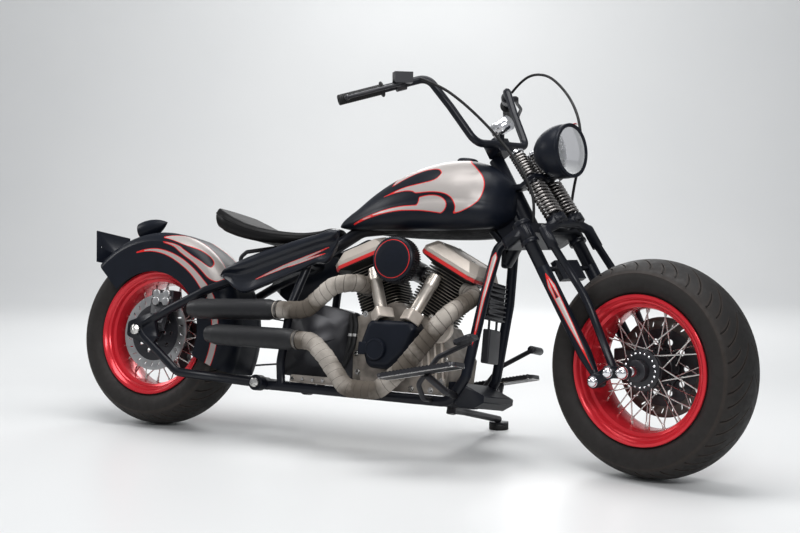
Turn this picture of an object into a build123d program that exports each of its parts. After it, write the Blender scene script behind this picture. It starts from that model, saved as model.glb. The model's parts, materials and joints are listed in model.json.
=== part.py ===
from build123d import *
import os
from math import acos, asin, atan2, cos, degrees, radians, sin

# Motorcycle with a springer fork, parked on its side stand. Lengths in mm, angles in degrees.
# Upright frame: X forward from the rear axle, Y to the rider's left, Z up with both axles at AXLE_Z.

# Stance
AXLE_Z = 323.0
LEAN = 11.2
STEER = -16.9
RAKE = 31.5
NECK_X = 1337.0
AXLE_AHEAD = 483.0
WHEELBASE = NECK_X + AXLE_AHEAD
NECK_Z = 800.0
GAP = 0.5
SEAT_GAP = 0.4

# Wheels
TYRE_R = 323.0
TYRE_HALF = 100.0
SHOULDER_DROP = 31.0
SHOULDER_R = TYRE_R - SHOULDER_DROP
SHOULDER_Y = 91.0
BEAD_R = 207.0
BEAD_Y = 74.0
RIM_R = 221.5
WALL_R = (SHOULDER_R + RIM_R) / 2 + 5
RIM_HALF = 84.0
RIM_WELL_R = 178.0
HUB_R = 36.0
FLANGE_R = 62.0
FLANGE_Y = 50.0
FLANGE_T = 8.0
SPOKE_R = 2.4
SPOKES_PER_SIDE = 20
SPOKE_TWIST = 34.0
AXLE_R = 11.0
AXLE_CLEAR = 0.3
CROWN_R = (SHOULDER_Y**2 + SHOULDER_DROP**2) / (2 * SHOULDER_DROP)

# Brakes and final drive
FRONT_DISC_R = 150.0
REAR_DISC_R = 135.0
DISC_T = 5.0
DISC_Y = 62.0
PULLEY_R = 120.0
PULLEY_Y = 122.0
BELT_W = 16.0
BELT_T = 5.0
DRIVE_R = 42.0
DRIVE_X = 690.0
DRIVE_Z = 330.0

# Fender
FENDER_GAP = 41.0
FENDER_R = TYRE_R + FENDER_GAP
FENDER_Y = 111.0
SHEET = 3.0
SKIRT_R = 214.0
FENDER_FROM = -20.0
FENDER_TO = 138.0
TAIL_ANGLE = 103.2
TAIL_LIFT = 39.6
PLATE_ANGLE = 133.7
PLATE_LIFT = 49.8

# Frame tubes
TUBE_R = 16.0
RAIL_Y = 126.0
BACKBONE_R = 22.0
ARM_R = 15.0
ARM_CROSS_X = 560.0
ARM_CROSS_Z = 600.0
RAIL_Z = 168.0
NECK_R = 30.0
NECK_LOW = -98.0
NECK_HIGH = 44.0

# Springer fork, measured along (t) and ahead of (a) the steering axis
LEG_Y = 128.0
FRONT_LEG_Y = 120.0
REAR_LEG_R = 21.0
REAR_LEG_A = 57.0
FRONT_LEG_R = 12.0
CROWN_T = -140.0
PIVOT_T = -634.0
BRACE_T = -256.0
SPRING_Y = 46.0
SPRING_R = 30.0
TOP_SPRING_R = 25.0
PERCH_T = 28.0

# Engine
CRANK_X = 978.0
CRANK_Z = 274.0
V_REAR = -23.0
V_FRONT = 27.0
DECK_S = 185.0
FIN_HALF = 76.0
FIN_T = 7.0
FIN_PITCH = 16.5
FIN_COUNT = 10
COVER_S = 358.0
CASE_HALF = 105.0

# Exhaust
HEADER_R = 25.0
MUFFLER_R = 35.0

# Handlebar
BAR_R = 12.7
GRIP_R = 17.0

# Side stand
STAND_PIVOT = (1085.0, 160.0, 150.0)
STAND_AXIS = (0.02, -0.2, -0.98)
STAND_HUB = 38.0
STAND_DROP = 6.0
FOOT_X = 1128.0
FOOT_Y = 485.0
PUCK_R = 34.0
PUCK_H = 20.0
FOOT_T = 6.0

UP = (-sin(radians(RAKE)), 0.0, cos(radians(RAKE)))
STEER_AXIS = Axis((NECK_X, 0, NECK_Z), UP)
FORK = Plane(origin=(NECK_X, 0, NECK_Z), x_dir=(cos(radians(RAKE)), 0, sin(radians(RAKE))), z_dir=UP)


def fork_point(ahead, side, along):
    """Point given ahead of, beside and along the steering axis."""
    return FORK.from_local_coords(Vector(ahead, side, along))


def neck_point(ahead, side, above):
    """Point given ahead of, beside and above the neck."""
    return Vector(NECK_X + ahead, side, NECK_Z + above)


FRONT_AXLE = Vector(WHEELBASE, 0, AXLE_Z)
REAR_AXLE = Vector(0, 0, AXLE_Z)


def rod(start, end, radius):
    """Straight round bar between two points."""
    start = Vector(*start)
    end = Vector(*end)
    plane = Plane(origin=start, z_dir=end - start)
    return plane * Cylinder(radius, (end - start).length, align=(Align.CENTER, Align.CENTER, Align.MIN))


def tube(points, radius, bend):
    """Round tube along straight runs joined by tangent arcs."""
    points = [Vector(*p) for p in points]
    path = FilletPolyline(*points, radius=bend)
    start = Plane(origin=points[0], z_dir=points[1] - points[0])
    return sweep(start * Circle(radius), path=path)


def ring(points):
    """Body of revolution about Y from (radius, y) corners."""
    return revolve(make_face(Polyline(*points, close=True)), Axis.Y)


def mirrored(solid):
    """Both sides of a piece that is made on the right."""
    return solid + mirror(solid, Plane.XZ)


def block(low, high, round_r=0.0):
    """Box between two corners, its long edges rounded."""
    size = [b - a for a, b in zip(low, high)]
    centre = [(a + b) / 2 for a, b in zip(low, high)]
    box = Pos(*centre) * Box(*size)
    if round_r:
        box = fillet(box.edges(), round_r)
    return box


def side_plate(points, y_from, y_to, round_r=0.0):
    """Plate with an outline in XZ between two y values."""
    outline = Plane.XZ * make_face(Polyline(*points, close=True))
    if round_r:
        outline = fillet(outline.vertices(), round_r)
    solid = extrude(outline, amount=abs(y_to - y_from), dir=(0, 1, 0))
    return Pos(0, min(y_from, y_to), 0) * solid


def tyre():
    """Fat road tyre about Y at the origin."""
    outline = [
        ThreePointArc((SHOULDER_R, -SHOULDER_Y), (TYRE_R, 0), (SHOULDER_R, SHOULDER_Y)),
        ThreePointArc((SHOULDER_R, SHOULDER_Y), (WALL_R, TYRE_HALF), (RIM_R + 2, BEAD_Y)),
        Polyline(
            (RIM_R + 2, BEAD_Y),
            (BEAD_R + 7, BEAD_Y),
            (BEAD_R, BEAD_Y - 4),
            (BEAD_R, 4 - BEAD_Y),
            (BEAD_R + 7, -BEAD_Y),
            (RIM_R + 2, -BEAD_Y),
        ),
        ThreePointArc((RIM_R + 2, -BEAD_Y), (WALL_R, -TYRE_HALF), (SHOULDER_R, -SHOULDER_Y)),
    ]
    return revolve(make_face(Curve() + outline), Axis.Y)


def rim():
    """Stepped rim about Y at the origin."""
    half = [
        (RIM_R, RIM_HALF),
        (RIM_R - 9, RIM_HALF),
        (RIM_R - 18, RIM_HALF - 10),
        (RIM_R - 24, RIM_HALF - 12),
        (RIM_R - 29, RIM_HALF - 26),
        (RIM_R - 38, RIM_HALF - 28),
        (RIM_WELL_R, RIM_HALF - 54),
    ]
    bed = BEAD_R - GAP
    outer = [(bed, BEAD_Y - 3), (RIM_R - 8, BEAD_Y + 1.5), (RIM_R, BEAD_Y + 3)]
    lower = [(r, -y) for r, y in half]
    upper = [(r, -y) for r, y in outer]
    return ring(outer + half + lower[::-1] + upper[::-1])


def wheel_centre(left_face, right_face):
    """Hub with drilled flanges and crossed wire spokes, about Y at the origin."""
    hub = Rot(90, 0, 0) * Cylinder(HUB_R, 2 * FLANGE_Y + FLANGE_T)
    for side in (-1, 1):
        hub += Pos(0, side * FLANGE_Y, 0) * Rot(90, 0, 0) * Cylinder(FLANGE_R, FLANGE_T)
    left = left_face - FLANGE_Y
    hub += Pos(0, FLANGE_Y + left / 2, 0) * Rot(90, 0, 0) * Cylinder(HUB_R - 4, left)
    right = right_face - FLANGE_Y
    hub += Pos(0, -FLANGE_Y - right / 2, 0) * Rot(90, 0, 0) * Cylinder(HUB_R - 4, right)
    for side in (-1, 1):
        for i in range(10):
            hole = Pos(0, side * FLANGE_Y, 0) * Rot(0, 36 * i, 0) * Pos(49, 0, 0)
            hub -= hole * Rot(90, 0, 0) * Cylinder(4.5, FLANGE_T + 2)
    wires = []
    for side in (-1, 1):
        for i in range(SPOKES_PER_SIDE):
            lace = 1 if i % 2 else -1
            turn = radians(360 / SPOKES_PER_SIDE * (i + (0.5 if side > 0 else 0)))
            foot = turn + lace * radians(SPOKE_TWIST)
            y = side * (FLANGE_Y + lace * 3)
            start = (57 * cos(foot), y, 57 * sin(foot))
            top = RIM_WELL_R - 1.6
            end = (top * cos(turn), side * 16, top * sin(turn))
            wires.append(rod(start, end, SPOKE_R))
    solid = hub.fuse(*wires)
    bore = Rot(90, 0, 0) * Cylinder(AXLE_R + AXLE_CLEAR, 400)
    return solid - bore


def disc(outer, inner, y):
    """Brake disc with slots, about Y at the origin."""
    plate = Pos(0, y, 0) * Rot(90, 0, 0) * (Cylinder(outer, DISC_T) - Cylinder(inner, DISC_T + 2))
    for i in range(12):
        slot = Pos(0, y, 0) * Rot(0, 30 * i, 0) * Pos((outer + inner) / 2 + 10, 0, 0) * Rot(0, 35, 0)
        plate -= slot * Rot(90, 0, 0) * extrude(SlotOverall(34, 7), amount=DISC_T, both=True)
    return plate


def front_disc():
    """Left-hand front disc."""
    return disc(FRONT_DISC_R, HUB_R - 4 + GAP, DISC_Y)


def rear_disc():
    """Right-hand rear disc."""
    return disc(REAR_DISC_R, HUB_R - 4 + GAP, -DISC_Y)


def pulley():
    """Driven belt pulley on the left of the rear hub."""
    inner = HUB_R - 4 + GAP
    face = PULLEY_Y - BELT_W / 2 - 2
    points = [
        (inner, FLANGE_Y + FLANGE_T / 2 + 4),
        (inner + 10, FLANGE_Y + FLANGE_T / 2 + 4),
        (inner + 14, face),
        (PULLEY_R, face),
        (PULLEY_R, PULLEY_Y + BELT_W / 2 + 2),
        (inner, PULLEY_Y + BELT_W / 2 + 2),
    ]
    solid = ring(points)
    for i in range(6):
        hole = Rot(0, 60 * i, 0) * Pos(84, PULLEY_Y, 0) * Rot(90, 0, 0) * Cylinder(22, 60)
        solid -= hole
    return solid


def drive_belt():
    """Loop from the engine's drive pulley to the wheel's pulley."""
    span = Vector(DRIVE_X, 0, DRIVE_Z - AXLE_Z)
    reach = (span.X**2 + span.Z**2) ** 0.5
    base = atan2(span.Z, span.X)
    spread = acos((PULLEY_R - DRIVE_R) / reach)

    def loop(extra):
        big = PULLEY_R + 1 + extra
        small = DRIVE_R + 1 + extra
        up = base + spread
        low = base - spread
        a = (big * cos(up), AXLE_Z + big * sin(up))
        b = (DRIVE_X + small * cos(up), DRIVE_Z + small * sin(up))
        c = (DRIVE_X + small * cos(base), DRIVE_Z + small * sin(base))
        d = (DRIVE_X + small * cos(low), DRIVE_Z + small * sin(low))
        e = (big * cos(low), AXLE_Z + big * sin(low))
        f = (-big * cos(base), AXLE_Z - big * sin(base))
        edges = [Line(a, b), ThreePointArc(b, c, d), Line(d, e), ThreePointArc(e, f, a)]
        return Plane.XZ * make_face(Curve() + edges)

    band = loop(BELT_T) - loop(0)
    return Pos(0, PULLEY_Y - BELT_W / 2, 0) * extrude(band, amount=BELT_W, dir=(0, 1, 0))


def chassis_pins():
    """Rear axle with spacers and nuts, and the swingarm's pivot bolt."""
    axle = rod((0, -187, AXLE_Z), (0, 187, AXLE_Z), AXLE_R)
    for start, end, radius in ((-142.4, -86, 15), (135, 142.4, 15), (-183, -173.6, 17), (173.6, 183, 17)):
        axle += rod((0, start, AXLE_Z), (0, end, AXLE_Z), radius)
    pivot = rod((520, -186, 176), (520, 186, 176), 9)
    for side in (-1, 1):
        pivot += rod((520, side * 177, 176), (520, side * 186, 176), 15)
    return axle + pivot


def fender_edge(depth):
    """Section of the fender at a depth below its outside, from side to side."""
    flat = FENDER_R - 40
    side = FENDER_Y - depth
    bend = depth * 0.7
    right = [
        Line((SKIRT_R, -side), (flat, -side)),
        ThreePointArc((flat, -side), (FENDER_R - 12 - bend, 24 + bend - FENDER_Y), (FENDER_R - 2 - depth, 66 - FENDER_Y)),
    ]
    crown = ThreePointArc((FENDER_R - 2 - depth, 66 - FENDER_Y), (FENDER_R - depth, 0), (FENDER_R - 2 - depth, FENDER_Y - 66))
    left = [mirror(e, Plane.XZ) for e in right]
    return right + [crown] + left


def on_fender(angle, lift):
    """Place above the fender's crown at an angle up from straight ahead."""
    reach = FENDER_R + lift
    return Pos(reach * cos(radians(angle)), 0, AXLE_Z + reach * sin(radians(angle)))


def rear_fender():
    """Sheet fender with deep side skirts round the rear wheel."""
    outer = fender_edge(0)
    inner = fender_edge(SHEET)
    lips = [Line((SKIRT_R, side * FENDER_Y), (SKIRT_R, side * (FENDER_Y - SHEET))) for side in (-1, 1)]
    outline = make_face(Curve() + outer + inner + lips)
    start = Rot(0, -FENDER_FROM, 0) * outline
    solid = revolve(start, Axis.Y, revolution_arc=-(FENDER_TO - FENDER_FROM))
    return Pos(*REAR_AXLE) * solid


def swingarm():
    """Triangulated rear arms with axle plates and cross tubes."""
    lower = tube([(10, -158, 322), (30, -158, 300), (186, -158, 188), (500, -158, 176)], 15, 60)
    upper = tube([(20, -158, 340), (120, -158, 400), (262, -150, 474), (374, -118, 524), (ARM_CROSS_X, -104, ARM_CROSS_Z)], ARM_R, 70)
    plate = side_plate([(-42, 300), (-42, 350), (60, 388), (90, 300), (60, 270)], -168, -148, 14)
    lug = Pos(520, -160, 176) * Rot(90, 0, 0) * Cylinder(26, 32)
    stay = rod((236, -FENDER_Y - 0.5, 461), (236, -152, 461), 9)
    solid = mirrored(lower + upper + plate + lug + stay)
    solid += rod((430, -158, 178.5), (430, 158, 178.5), 15)
    solid += rod((ARM_CROSS_X, -104, ARM_CROSS_Z), (ARM_CROSS_X, 104, ARM_CROSS_Z), ARM_R)
    solid -= rod((0, -200, AXLE_Z), (0, 200, AXLE_Z), AXLE_R + AXLE_CLEAR)
    return solid - rod((520, -200, 176), (520, 200, 176), 9 + AXLE_CLEAR)


def backbone_path():
    """Corners of the backbone from the neck to the seat."""
    return [neck_point(-19, 0, 3), neck_point(-187, 0, -46), (770, 0, 716), (650, 0, 640)]


def downtube_path():
    """Corners of the right-hand downtube and rail, from the neck to the swingarm."""
    low = fork_point(0, 0, NECK_LOW + 24)
    return [
        Vector(low.X - 12, -16, low.Z),
        Vector(NECK_X - 37, -66, 660),
        Vector(NECK_X - 53, -104, 500),
        Vector(NECK_X - 85, -120, 250),
        Vector(NECK_X - 132, -RAIL_Y, RAIL_Z),
        Vector(524, -RAIL_Y, RAIL_Z + 4),
    ]


def belly_pan():
    """Faceted pan across the front of the cradle."""
    outline = [(-142, 178), (-142, 232), (-102, 232), (-19, 196), (-19, 176), (-51, 156), (-105, 156)]
    return Pos(NECK_X, 0, 0) * side_plate(outline, -118, 118, 5)


def stand_bracket():
    """Lug on the left rail that carries the stand."""
    hinge = Plane(origin=STAND_PIVOT, x_dir=(1, 0, 0), z_dir=-Vector(*STAND_AXIS))
    return hinge * block((-22, RAIL_Y - STAND_PIVOT[1], STAND_HUB / 2 + GAP), (22, 16, STAND_HUB / 2 + 8))


def main_frame():
    """Neck, backbone, downtubes, lower cradle and uprights."""
    neck = rod(fork_point(0, 0, NECK_LOW), fork_point(0, 0, NECK_HIGH), NECK_R)
    down = tube(downtube_path(), TUBE_R, 50)
    upright = tube(
        [(590, -RAIL_Y, RAIL_Z + 3), (592, -147, 250), (610, -147, 440), (650, -92, 640)], TUBE_R - 2, 60
    )
    boss = Pos(520, -121, 176) * Rot(90, 0, 0) * Cylinder(21, 38)
    solid = mirrored(down + upright + boss)
    solid += tube(backbone_path(), BACKBONE_R, 90)
    gusset = side_plate([(-38, 20), (43, -88), (-19, -140), (-112, -28)], -26, 26, 10)
    solid += Pos(NECK_X, 0, NECK_Z) * fillet(gusset.faces().filter_by(Axis.Y).edges(), 12)
    solid += rod((650, -92, 640), (650, 92, 640), TUBE_R - 2)
    solid += block((664, -16, 640), (684, 16, 681))
    for x in (640, 1120):
        solid += rod((x, -RAIL_Y, RAIL_Z + 2), (x, RAIL_Y, RAIL_Z + 2), 13)
    solid += belly_pan() + stand_bracket() + neck
    solid -= FORK * Pos(0, 0, NECK_LOW - 100) * Cylinder(64, 200)
    solid -= rod(fork_point(0, 0, NECK_LOW - 60), fork_point(0, 0, NECK_HIGH + 60), 16 + AXLE_CLEAR)
    return solid - rod((520, -200, 176), (520, 200, 176), 9 + AXLE_CLEAR)


def tank():
    """Teardrop tank, widest over the front cylinder."""
    sections = [
        (690, 724, 734, 10, 4),
        (770, 714, 788, 62, 22),
        (900, 708, 874, 124, 44),
        (NECK_X - 287, 708, 934, 157, 58),
        (NECK_X - 157, 712, 945, 160, 60),
        (NECK_X - 62, 724, 912, 128, 56),
        (NECK_X - 15, 752, 862, 74, 40),
    ]
    faces = []
    for x, low, high, half, corner in sections:
        waist = low + (high - low) * 0.38
        right = [
            Line((0, low), (half - corner, low)),
            ThreePointArc((half - corner, low), (half - corner * 0.22, low + corner * 0.25), (half, waist)),
            ThreePointArc((half, waist), (half * 0.78, low + (high - low) * 0.80), (0, high)),
        ]
        edges = right + [mirror(e, Plane.YZ) for e in right]
        face = make_face(Curve() + edges)
        faces.append(Plane(origin=(x, 0, 0), x_dir=(0, 1, 0), z_dir=(1, 0, 0)) * face)
    solid = loft(faces)
    tunnel = tube(backbone_path(), BACKBONE_R + SEAT_GAP, 90)
    fore = NECK_X + 83
    hollow = [(fore, 880), (NECK_X - 112, 806), (NECK_X - 187, 754), (770, 716), (650, 600), (fore, 600)]
    slot = side_plate(hollow, -31, 31)
    neck = rod(fork_point(0, 0, -200), fork_point(0, 0, 300), 62)
    return solid - tunnel - slot - neck


def seat():
    """Solo saddle, wide at the back and narrow at the nose."""
    sections = [
        (238, 726, 764, 96, 14),
        (290, 690, 752, 148, 20),
        (380, 660, 716, 160, 22),
        (470, 648, 697, 150, 20),
        (560, 650, 692, 106, 16),
        (640, 672, 704, 66, 12),
        (690, 694, 716, 40, 9),
    ]
    faces = []
    for x, low, high, half, corner in sections:
        right = [
            Line((0, low), (half - corner, low)),
            ThreePointArc((half - corner, low), (half, (low + high) / 2 - 4), (half - corner, high)),
            Line((half - corner, high), (0, high)),
        ]
        edges = right + [mirror(e, Plane.YZ) for e in right]
        faces.append(Plane(origin=(x, 0, 0), x_dir=(0, 1, 0), z_dir=(1, 0, 0)) * make_face(Curve() + edges))
    return loft(faces)


def seat_springs():
    """Pair of hairpin springs under the saddle."""
    back = FENDER_R - 42
    path = [(480, -70, 640), (back + 38, -70, 622), (back, -70, 590), (back + 50, -70, 566), (ARM_CROSS_X - 20, -70, ARM_CROSS_Z + 4)]
    loop = tube(path, 7, 20)
    front = ARM_CROSS_X - ARM_R - SEAT_GAP
    foot = block((front - 24, -84, ARM_CROSS_Z - 6), (front, -56, ARM_CROSS_Z + 16))
    return mirrored(loop + foot)


def side_covers():
    """Smooth panels along the upper frame, one each side."""
    outline = [(332, 530), (480, 596), (600, 640), (742, 684), (748, 600), (600, 530), (420, 458)]
    panel = side_plate(outline, -170, -152, 12)
    tab = rod((639, -152, 588), (639, -124, 588), 10)
    ridge = tube([(336, -158, 537), (480, -161, 594), (600, -152, 636), (742, -122, 686)], 19, 200)
    return mirrored(panel + ridge + tab)


def tail_frame():
    """Place of the tail lamp on the fender."""
    return on_fender(TAIL_ANGLE, TAIL_LIFT) * Rot(0, -20, 0)


def tail_lamp():
    """Teardrop lamp on the fender and the blank plate on its bent bracket."""
    edges = [Line((-70, 0), (-70, 34)), ThreePointArc((-70, 34), (0, 26), (46, 0)), Line((46, 0), (-70, 0))]
    lamp = tail_frame() * (revolve(make_face(Curve() + edges), Axis.X) + Pos(-16, 0, -34) * Cylinder(14, 36))
    board = Box(4, 190, 116)
    for side in (-1, 1):
        board -= Pos(0, 70 * side, 0) * Rot(0, 90, 0) * Cylinder(3.5, 20)
    arm = block((1, -20, -16), (86, 20, -8))
    holder = on_fender(PLATE_ANGLE, PLATE_LIFT) * (Rot(0, -8, 0) * board + arm)
    fender = Pos(*REAR_AXLE) * Rot(90, 0, 0) * Cylinder(FENDER_R + GAP, 400)
    return lamp - fender + (holder - fender)


def tail_lens():
    """Red lens of the tail lamp."""
    dome = Pos(-43.7, 0, 0) * Sphere(41.3)
    plug = Pos(-78.4, 0, 0) * Rot(0, 90, 0) * Cylinder(31, 16)
    return tail_frame() * (dome & plug)


def cylinder_frame(tilt):
    """Plane at the crank with Z along one cylinder."""
    turn = radians(tilt)
    return Plane(
        origin=(CRANK_X, 0, CRANK_Z), x_dir=(cos(turn), 0, -sin(turn)), z_dir=(sin(turn), 0, cos(turn))
    )


def barrel(tilt):
    """Finned barrel and head."""
    length = COVER_S - DECK_S - GAP
    solid = Pos(0, 0, DECK_S + GAP / 2) * Cylinder(58, length, align=(Align.CENTER, Align.CENTER, Align.MIN))
    fin = extrude(RectangleRounded(2 * FIN_HALF, 2 * FIN_HALF - 6, 30), amount=FIN_T)
    for i in range(FIN_COUNT):
        solid += Pos(0, 0, DECK_S + 12 + FIN_PITCH * i) * fin
    return cylinder_frame(tilt) * solid


def cylinders():
    """Both barrels of the V."""
    return barrel(V_REAR) + barrel(V_FRONT)


def rocker_cover(tilt):
    """Angular two-tier cover on a head."""
    base = Pos(0, 0, COVER_S + 12) * Box(212, 216, 24)
    base = chamfer(base.edges().filter_by(Axis.Z), 20)
    lid = extrude(RectangleRounded(188, 196, 24), amount=34, taper=18)
    return cylinder_frame(tilt) * (base + Pos(0, 0, COVER_S + 24) * lid)


def rocker_covers():
    """Covers of both heads."""
    return rocker_cover(V_REAR) + rocker_cover(V_FRONT)


def crankcase():
    """Main case with two decks for the barrels."""
    points = []
    for tilt in (V_REAR, V_FRONT):
        frame = cylinder_frame(tilt)
        for x in (-70, 66):
            p = frame.from_local_coords(Vector(x, 0, DECK_S))
            points.append((p.X, p.Z))
    points += [(1186, 310), (1180, 214), (1140, 188), (884, 188), (846, 214), (836, 330)]
    return side_plate(points, -CASE_HALF, CASE_HALF)


def gearbox():
    """Gear case behind the crankcase with a domed cover, a pan below and the drive pulley."""
    front = 836 - GAP
    solid = side_plate([(560, 210), (front, 210), (front, 420), (700, 452), (580, 400)], -92, 92, 18)
    solid += rod((690, -92, 330), (690, -122, 330), 86)
    solid += side_plate([(596, 190), (826, 190), (826, 212), (596, 212)], -86, 86)
    solid += rod((DRIVE_X, 90, DRIVE_Z), (DRIVE_X, PULLEY_Y, DRIVE_Z), 16)
    wheel = rod((DRIVE_X, PULLEY_Y - BELT_W / 2 - 2, DRIVE_Z), (DRIVE_X, PULLEY_Y + BELT_W / 2 + 2, DRIVE_Z), DRIVE_R)
    return solid + wheel


def primary_cover():
    """Long oval cover on the left."""
    rounds = (Pos(992, 286) * Circle(94)).edges() + (Pos(712, 320) * Circle(84)).edges()
    oval = Plane.XZ * make_hull(rounds)
    outer = Pos(0, 136, 0) * extrude(oval, amount=44, dir=(0, 1, 0))
    outer = fillet(outer.faces().sort_by(Axis.Y)[-1].edges(), 12)
    inner = rod((992, CASE_HALF + GAP, 286), (992, 137, 286), 90)
    return outer + inner


def cam_cover():
    """Rounded timing cover on the right with a round cap."""
    outline = [(898, 330), (922, 408), (1076, 408), (1092, 386), (1058, 300), (1004, 254), (930, 254)]
    solid = side_plate(outline, -CASE_HALF - GAP - 76, -CASE_HALF - GAP, 22)
    solid = fillet(solid.faces().sort_by(Axis.Y)[0].edges(), 9)
    return solid + rod((962, -CASE_HALF - 70, 312), (962, -CASE_HALF - 90, 312), 35)


def pushrod_tubes():
    """Pair of pushrod tubes from the timing cover to the heads."""
    solid = Part()
    for start, end in (((960, -150, 417.8), (880, -92, 574)), ((1060, -150, 416.4), (1106, -92, 562))):
        solid += rod(start, end, 17)
        run = Vector(*end) - Vector(*start)
        for low, high in ((0.09, 0.22), (0.62, 0.72)):
            solid += rod(Vector(*start) + run * low, Vector(*start) + run * high, 19)
    return solid


def air_cleaner():
    """Round air cleaner on its intake."""
    drum = Pos(991, -125, 602) * Rot(90, 0, 0) * Cylinder(74, 66, align=(Align.CENTER, Align.CENTER, Align.MIN))
    drum = fillet(drum.faces().sort_by(Axis.Y)[0].edges(), 16)
    stack = rod((991, -125, 596), (991, 34, 582), 34)
    return drum + stack + rod((942.6, 0, 578), (1033.9, 0, 577), 25.3)


def headers():
    """Wrapped pipes from the heads to the mufflers."""
    rear = [
        (860, -73.6, 519),
        (860, -152, 519),
        (792, -182, 500),
        (686, -190, 424),
        (582.7, -190, 419),
    ]
    front = [
        (1192.6, -46, 526.0),
        (1232, -46, 506),
        (1196, -160, 440),
        (1082, -207, 258),
        (1000, -210, 192),
        (880, -210, 202),
        (790, -210, 286),
        (724, -210, 324),
        (678.7, -210, 324),
    ]
    return tube(rear, HEADER_R, 34) + tube(front, HEADER_R, 34)


def muffler(start, end):
    """Tapered straight muffler."""
    start = Vector(*start)
    end = Vector(*end)
    length = (end - start).length
    outline = [
        (0, 0),
        (28, 0),
        (MUFFLER_R, 26),
        (MUFFLER_R, length - 40),
        (26, length),
        (20, length),
        (20, length - 60),
        (0, length - 60),
    ]
    solid = revolve(Plane.XZ * make_face(Polyline(*outline, close=True)), Axis.Z)
    return Plane(origin=start, z_dir=end - start) * solid


def mufflers():
    """Two mufflers one above the other on the right."""
    upper = muffler((582, -190, 419), (238, -190, 406))
    lower = muffler((678, -210, 324), (334, -210, 324))
    return upper + lower


def front_boxes():
    """Regulator box and finned oil cooler between the downtubes."""
    solid = block((-75, -44, 300), (-49, 44, 408), 5)
    core = block((-67, -60, 436), (-53, 60, 556))
    for i in range(8):
        core += block((-73, -66, 438 + 15 * i), (-47, 66, 442 + 15 * i))
    for y in (-30, 30):
        core += rod((-61, y, 400), (-61, y, 440), 4)
    upper, lower = downtube_path()[2:4]
    spot = upper + (lower - upper) * ((upper.Z - 444) / (upper.Z - lower.Z))
    reach = spot.Y + TUBE_R + 2 * SEAT_GAP
    strap = rod((spot.X - NECK_X, -60, spot.Z), (spot.X - NECK_X, reach, spot.Z), 4)
    return Pos(NECK_X, 0, 0) * (solid + core + mirrored(strap))


def foot_controls():
    """Footboards on curved brackets, brake pedal and gear lever."""
    board = Pos(-147, -310, 245) * Rot(0, -12, 0) * extrude(RectangleRounded(262, 92, 20), amount=14)
    arm = tube([(-109, -138, 190), (-109, -212, 200), (-137, -290, 242)], 11, 30)
    boards = mirrored(board + arm)
    brake = tube([(-187, -RAIL_Y - TUBE_R - SEAT_GAP, RAIL_Z + 2), (-187, -196, RAIL_Z + 4), (-187, -240, 214), (-127, -242, 300), (-25, -242, 352)], 8, 24)
    brake += Pos(-25, -272, 350) * Rot(0, -25, 0) * extrude(RectangleRounded(60, 70, 10), amount=12)
    gear = tube([(-187, RAIL_Y + TUBE_R + SEAT_GAP, RAIL_Z + 2), (-187, 196, RAIL_Z + 4), (-187, 240, 214), (-127, 242, 300), (-21, 242, 362)], 8, 24)
    gear += rod((-15, 230, 366), (-15, 312, 366), 13)
    return Pos(NECK_X, 0, 0) * (boards + brake + gear)


def rear_caliper():
    """Four-lobe caliper over the rear disc on its bracket."""
    edge = AXLE_Z + REAR_DISC_R
    body = block((-10, -DISC_Y - 36, edge - 38), (86, -DISC_Y + 14, edge + 16), 6)
    body -= rod((0, -DISC_Y - 7, AXLE_Z), (0, -DISC_Y + 7, AXLE_Z), REAR_DISC_R + 6)
    outline = [(-20, AXLE_Z - 13), (-6, edge - 18), (82, edge - 18), (60, AXLE_Z + 7)]
    bracket = side_plate(outline, -DISC_Y - 36, -DISC_Y - 26)
    anchor = rod((40, -DISC_Y - 30, AXLE_Z + 29), (40, -142, AXLE_Z + 29), 9)
    return body + bracket + anchor - rod((0, -200, AXLE_Z), (0, 0, AXLE_Z), 15 + GAP)


def rod_point(along):
    """Point on the right-hand spring rod at one height."""
    share = (along + 132) / 264
    return fork_point(128 - 24 * share, -SPRING_Y, along)


def fork_plate(points, half):
    """Plate with an outline ahead of and along the steering axis."""
    face = Plane.XZ * make_face(Polyline(*points, close=True))
    return FORK * extrude(face, amount=half, both=True)


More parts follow.
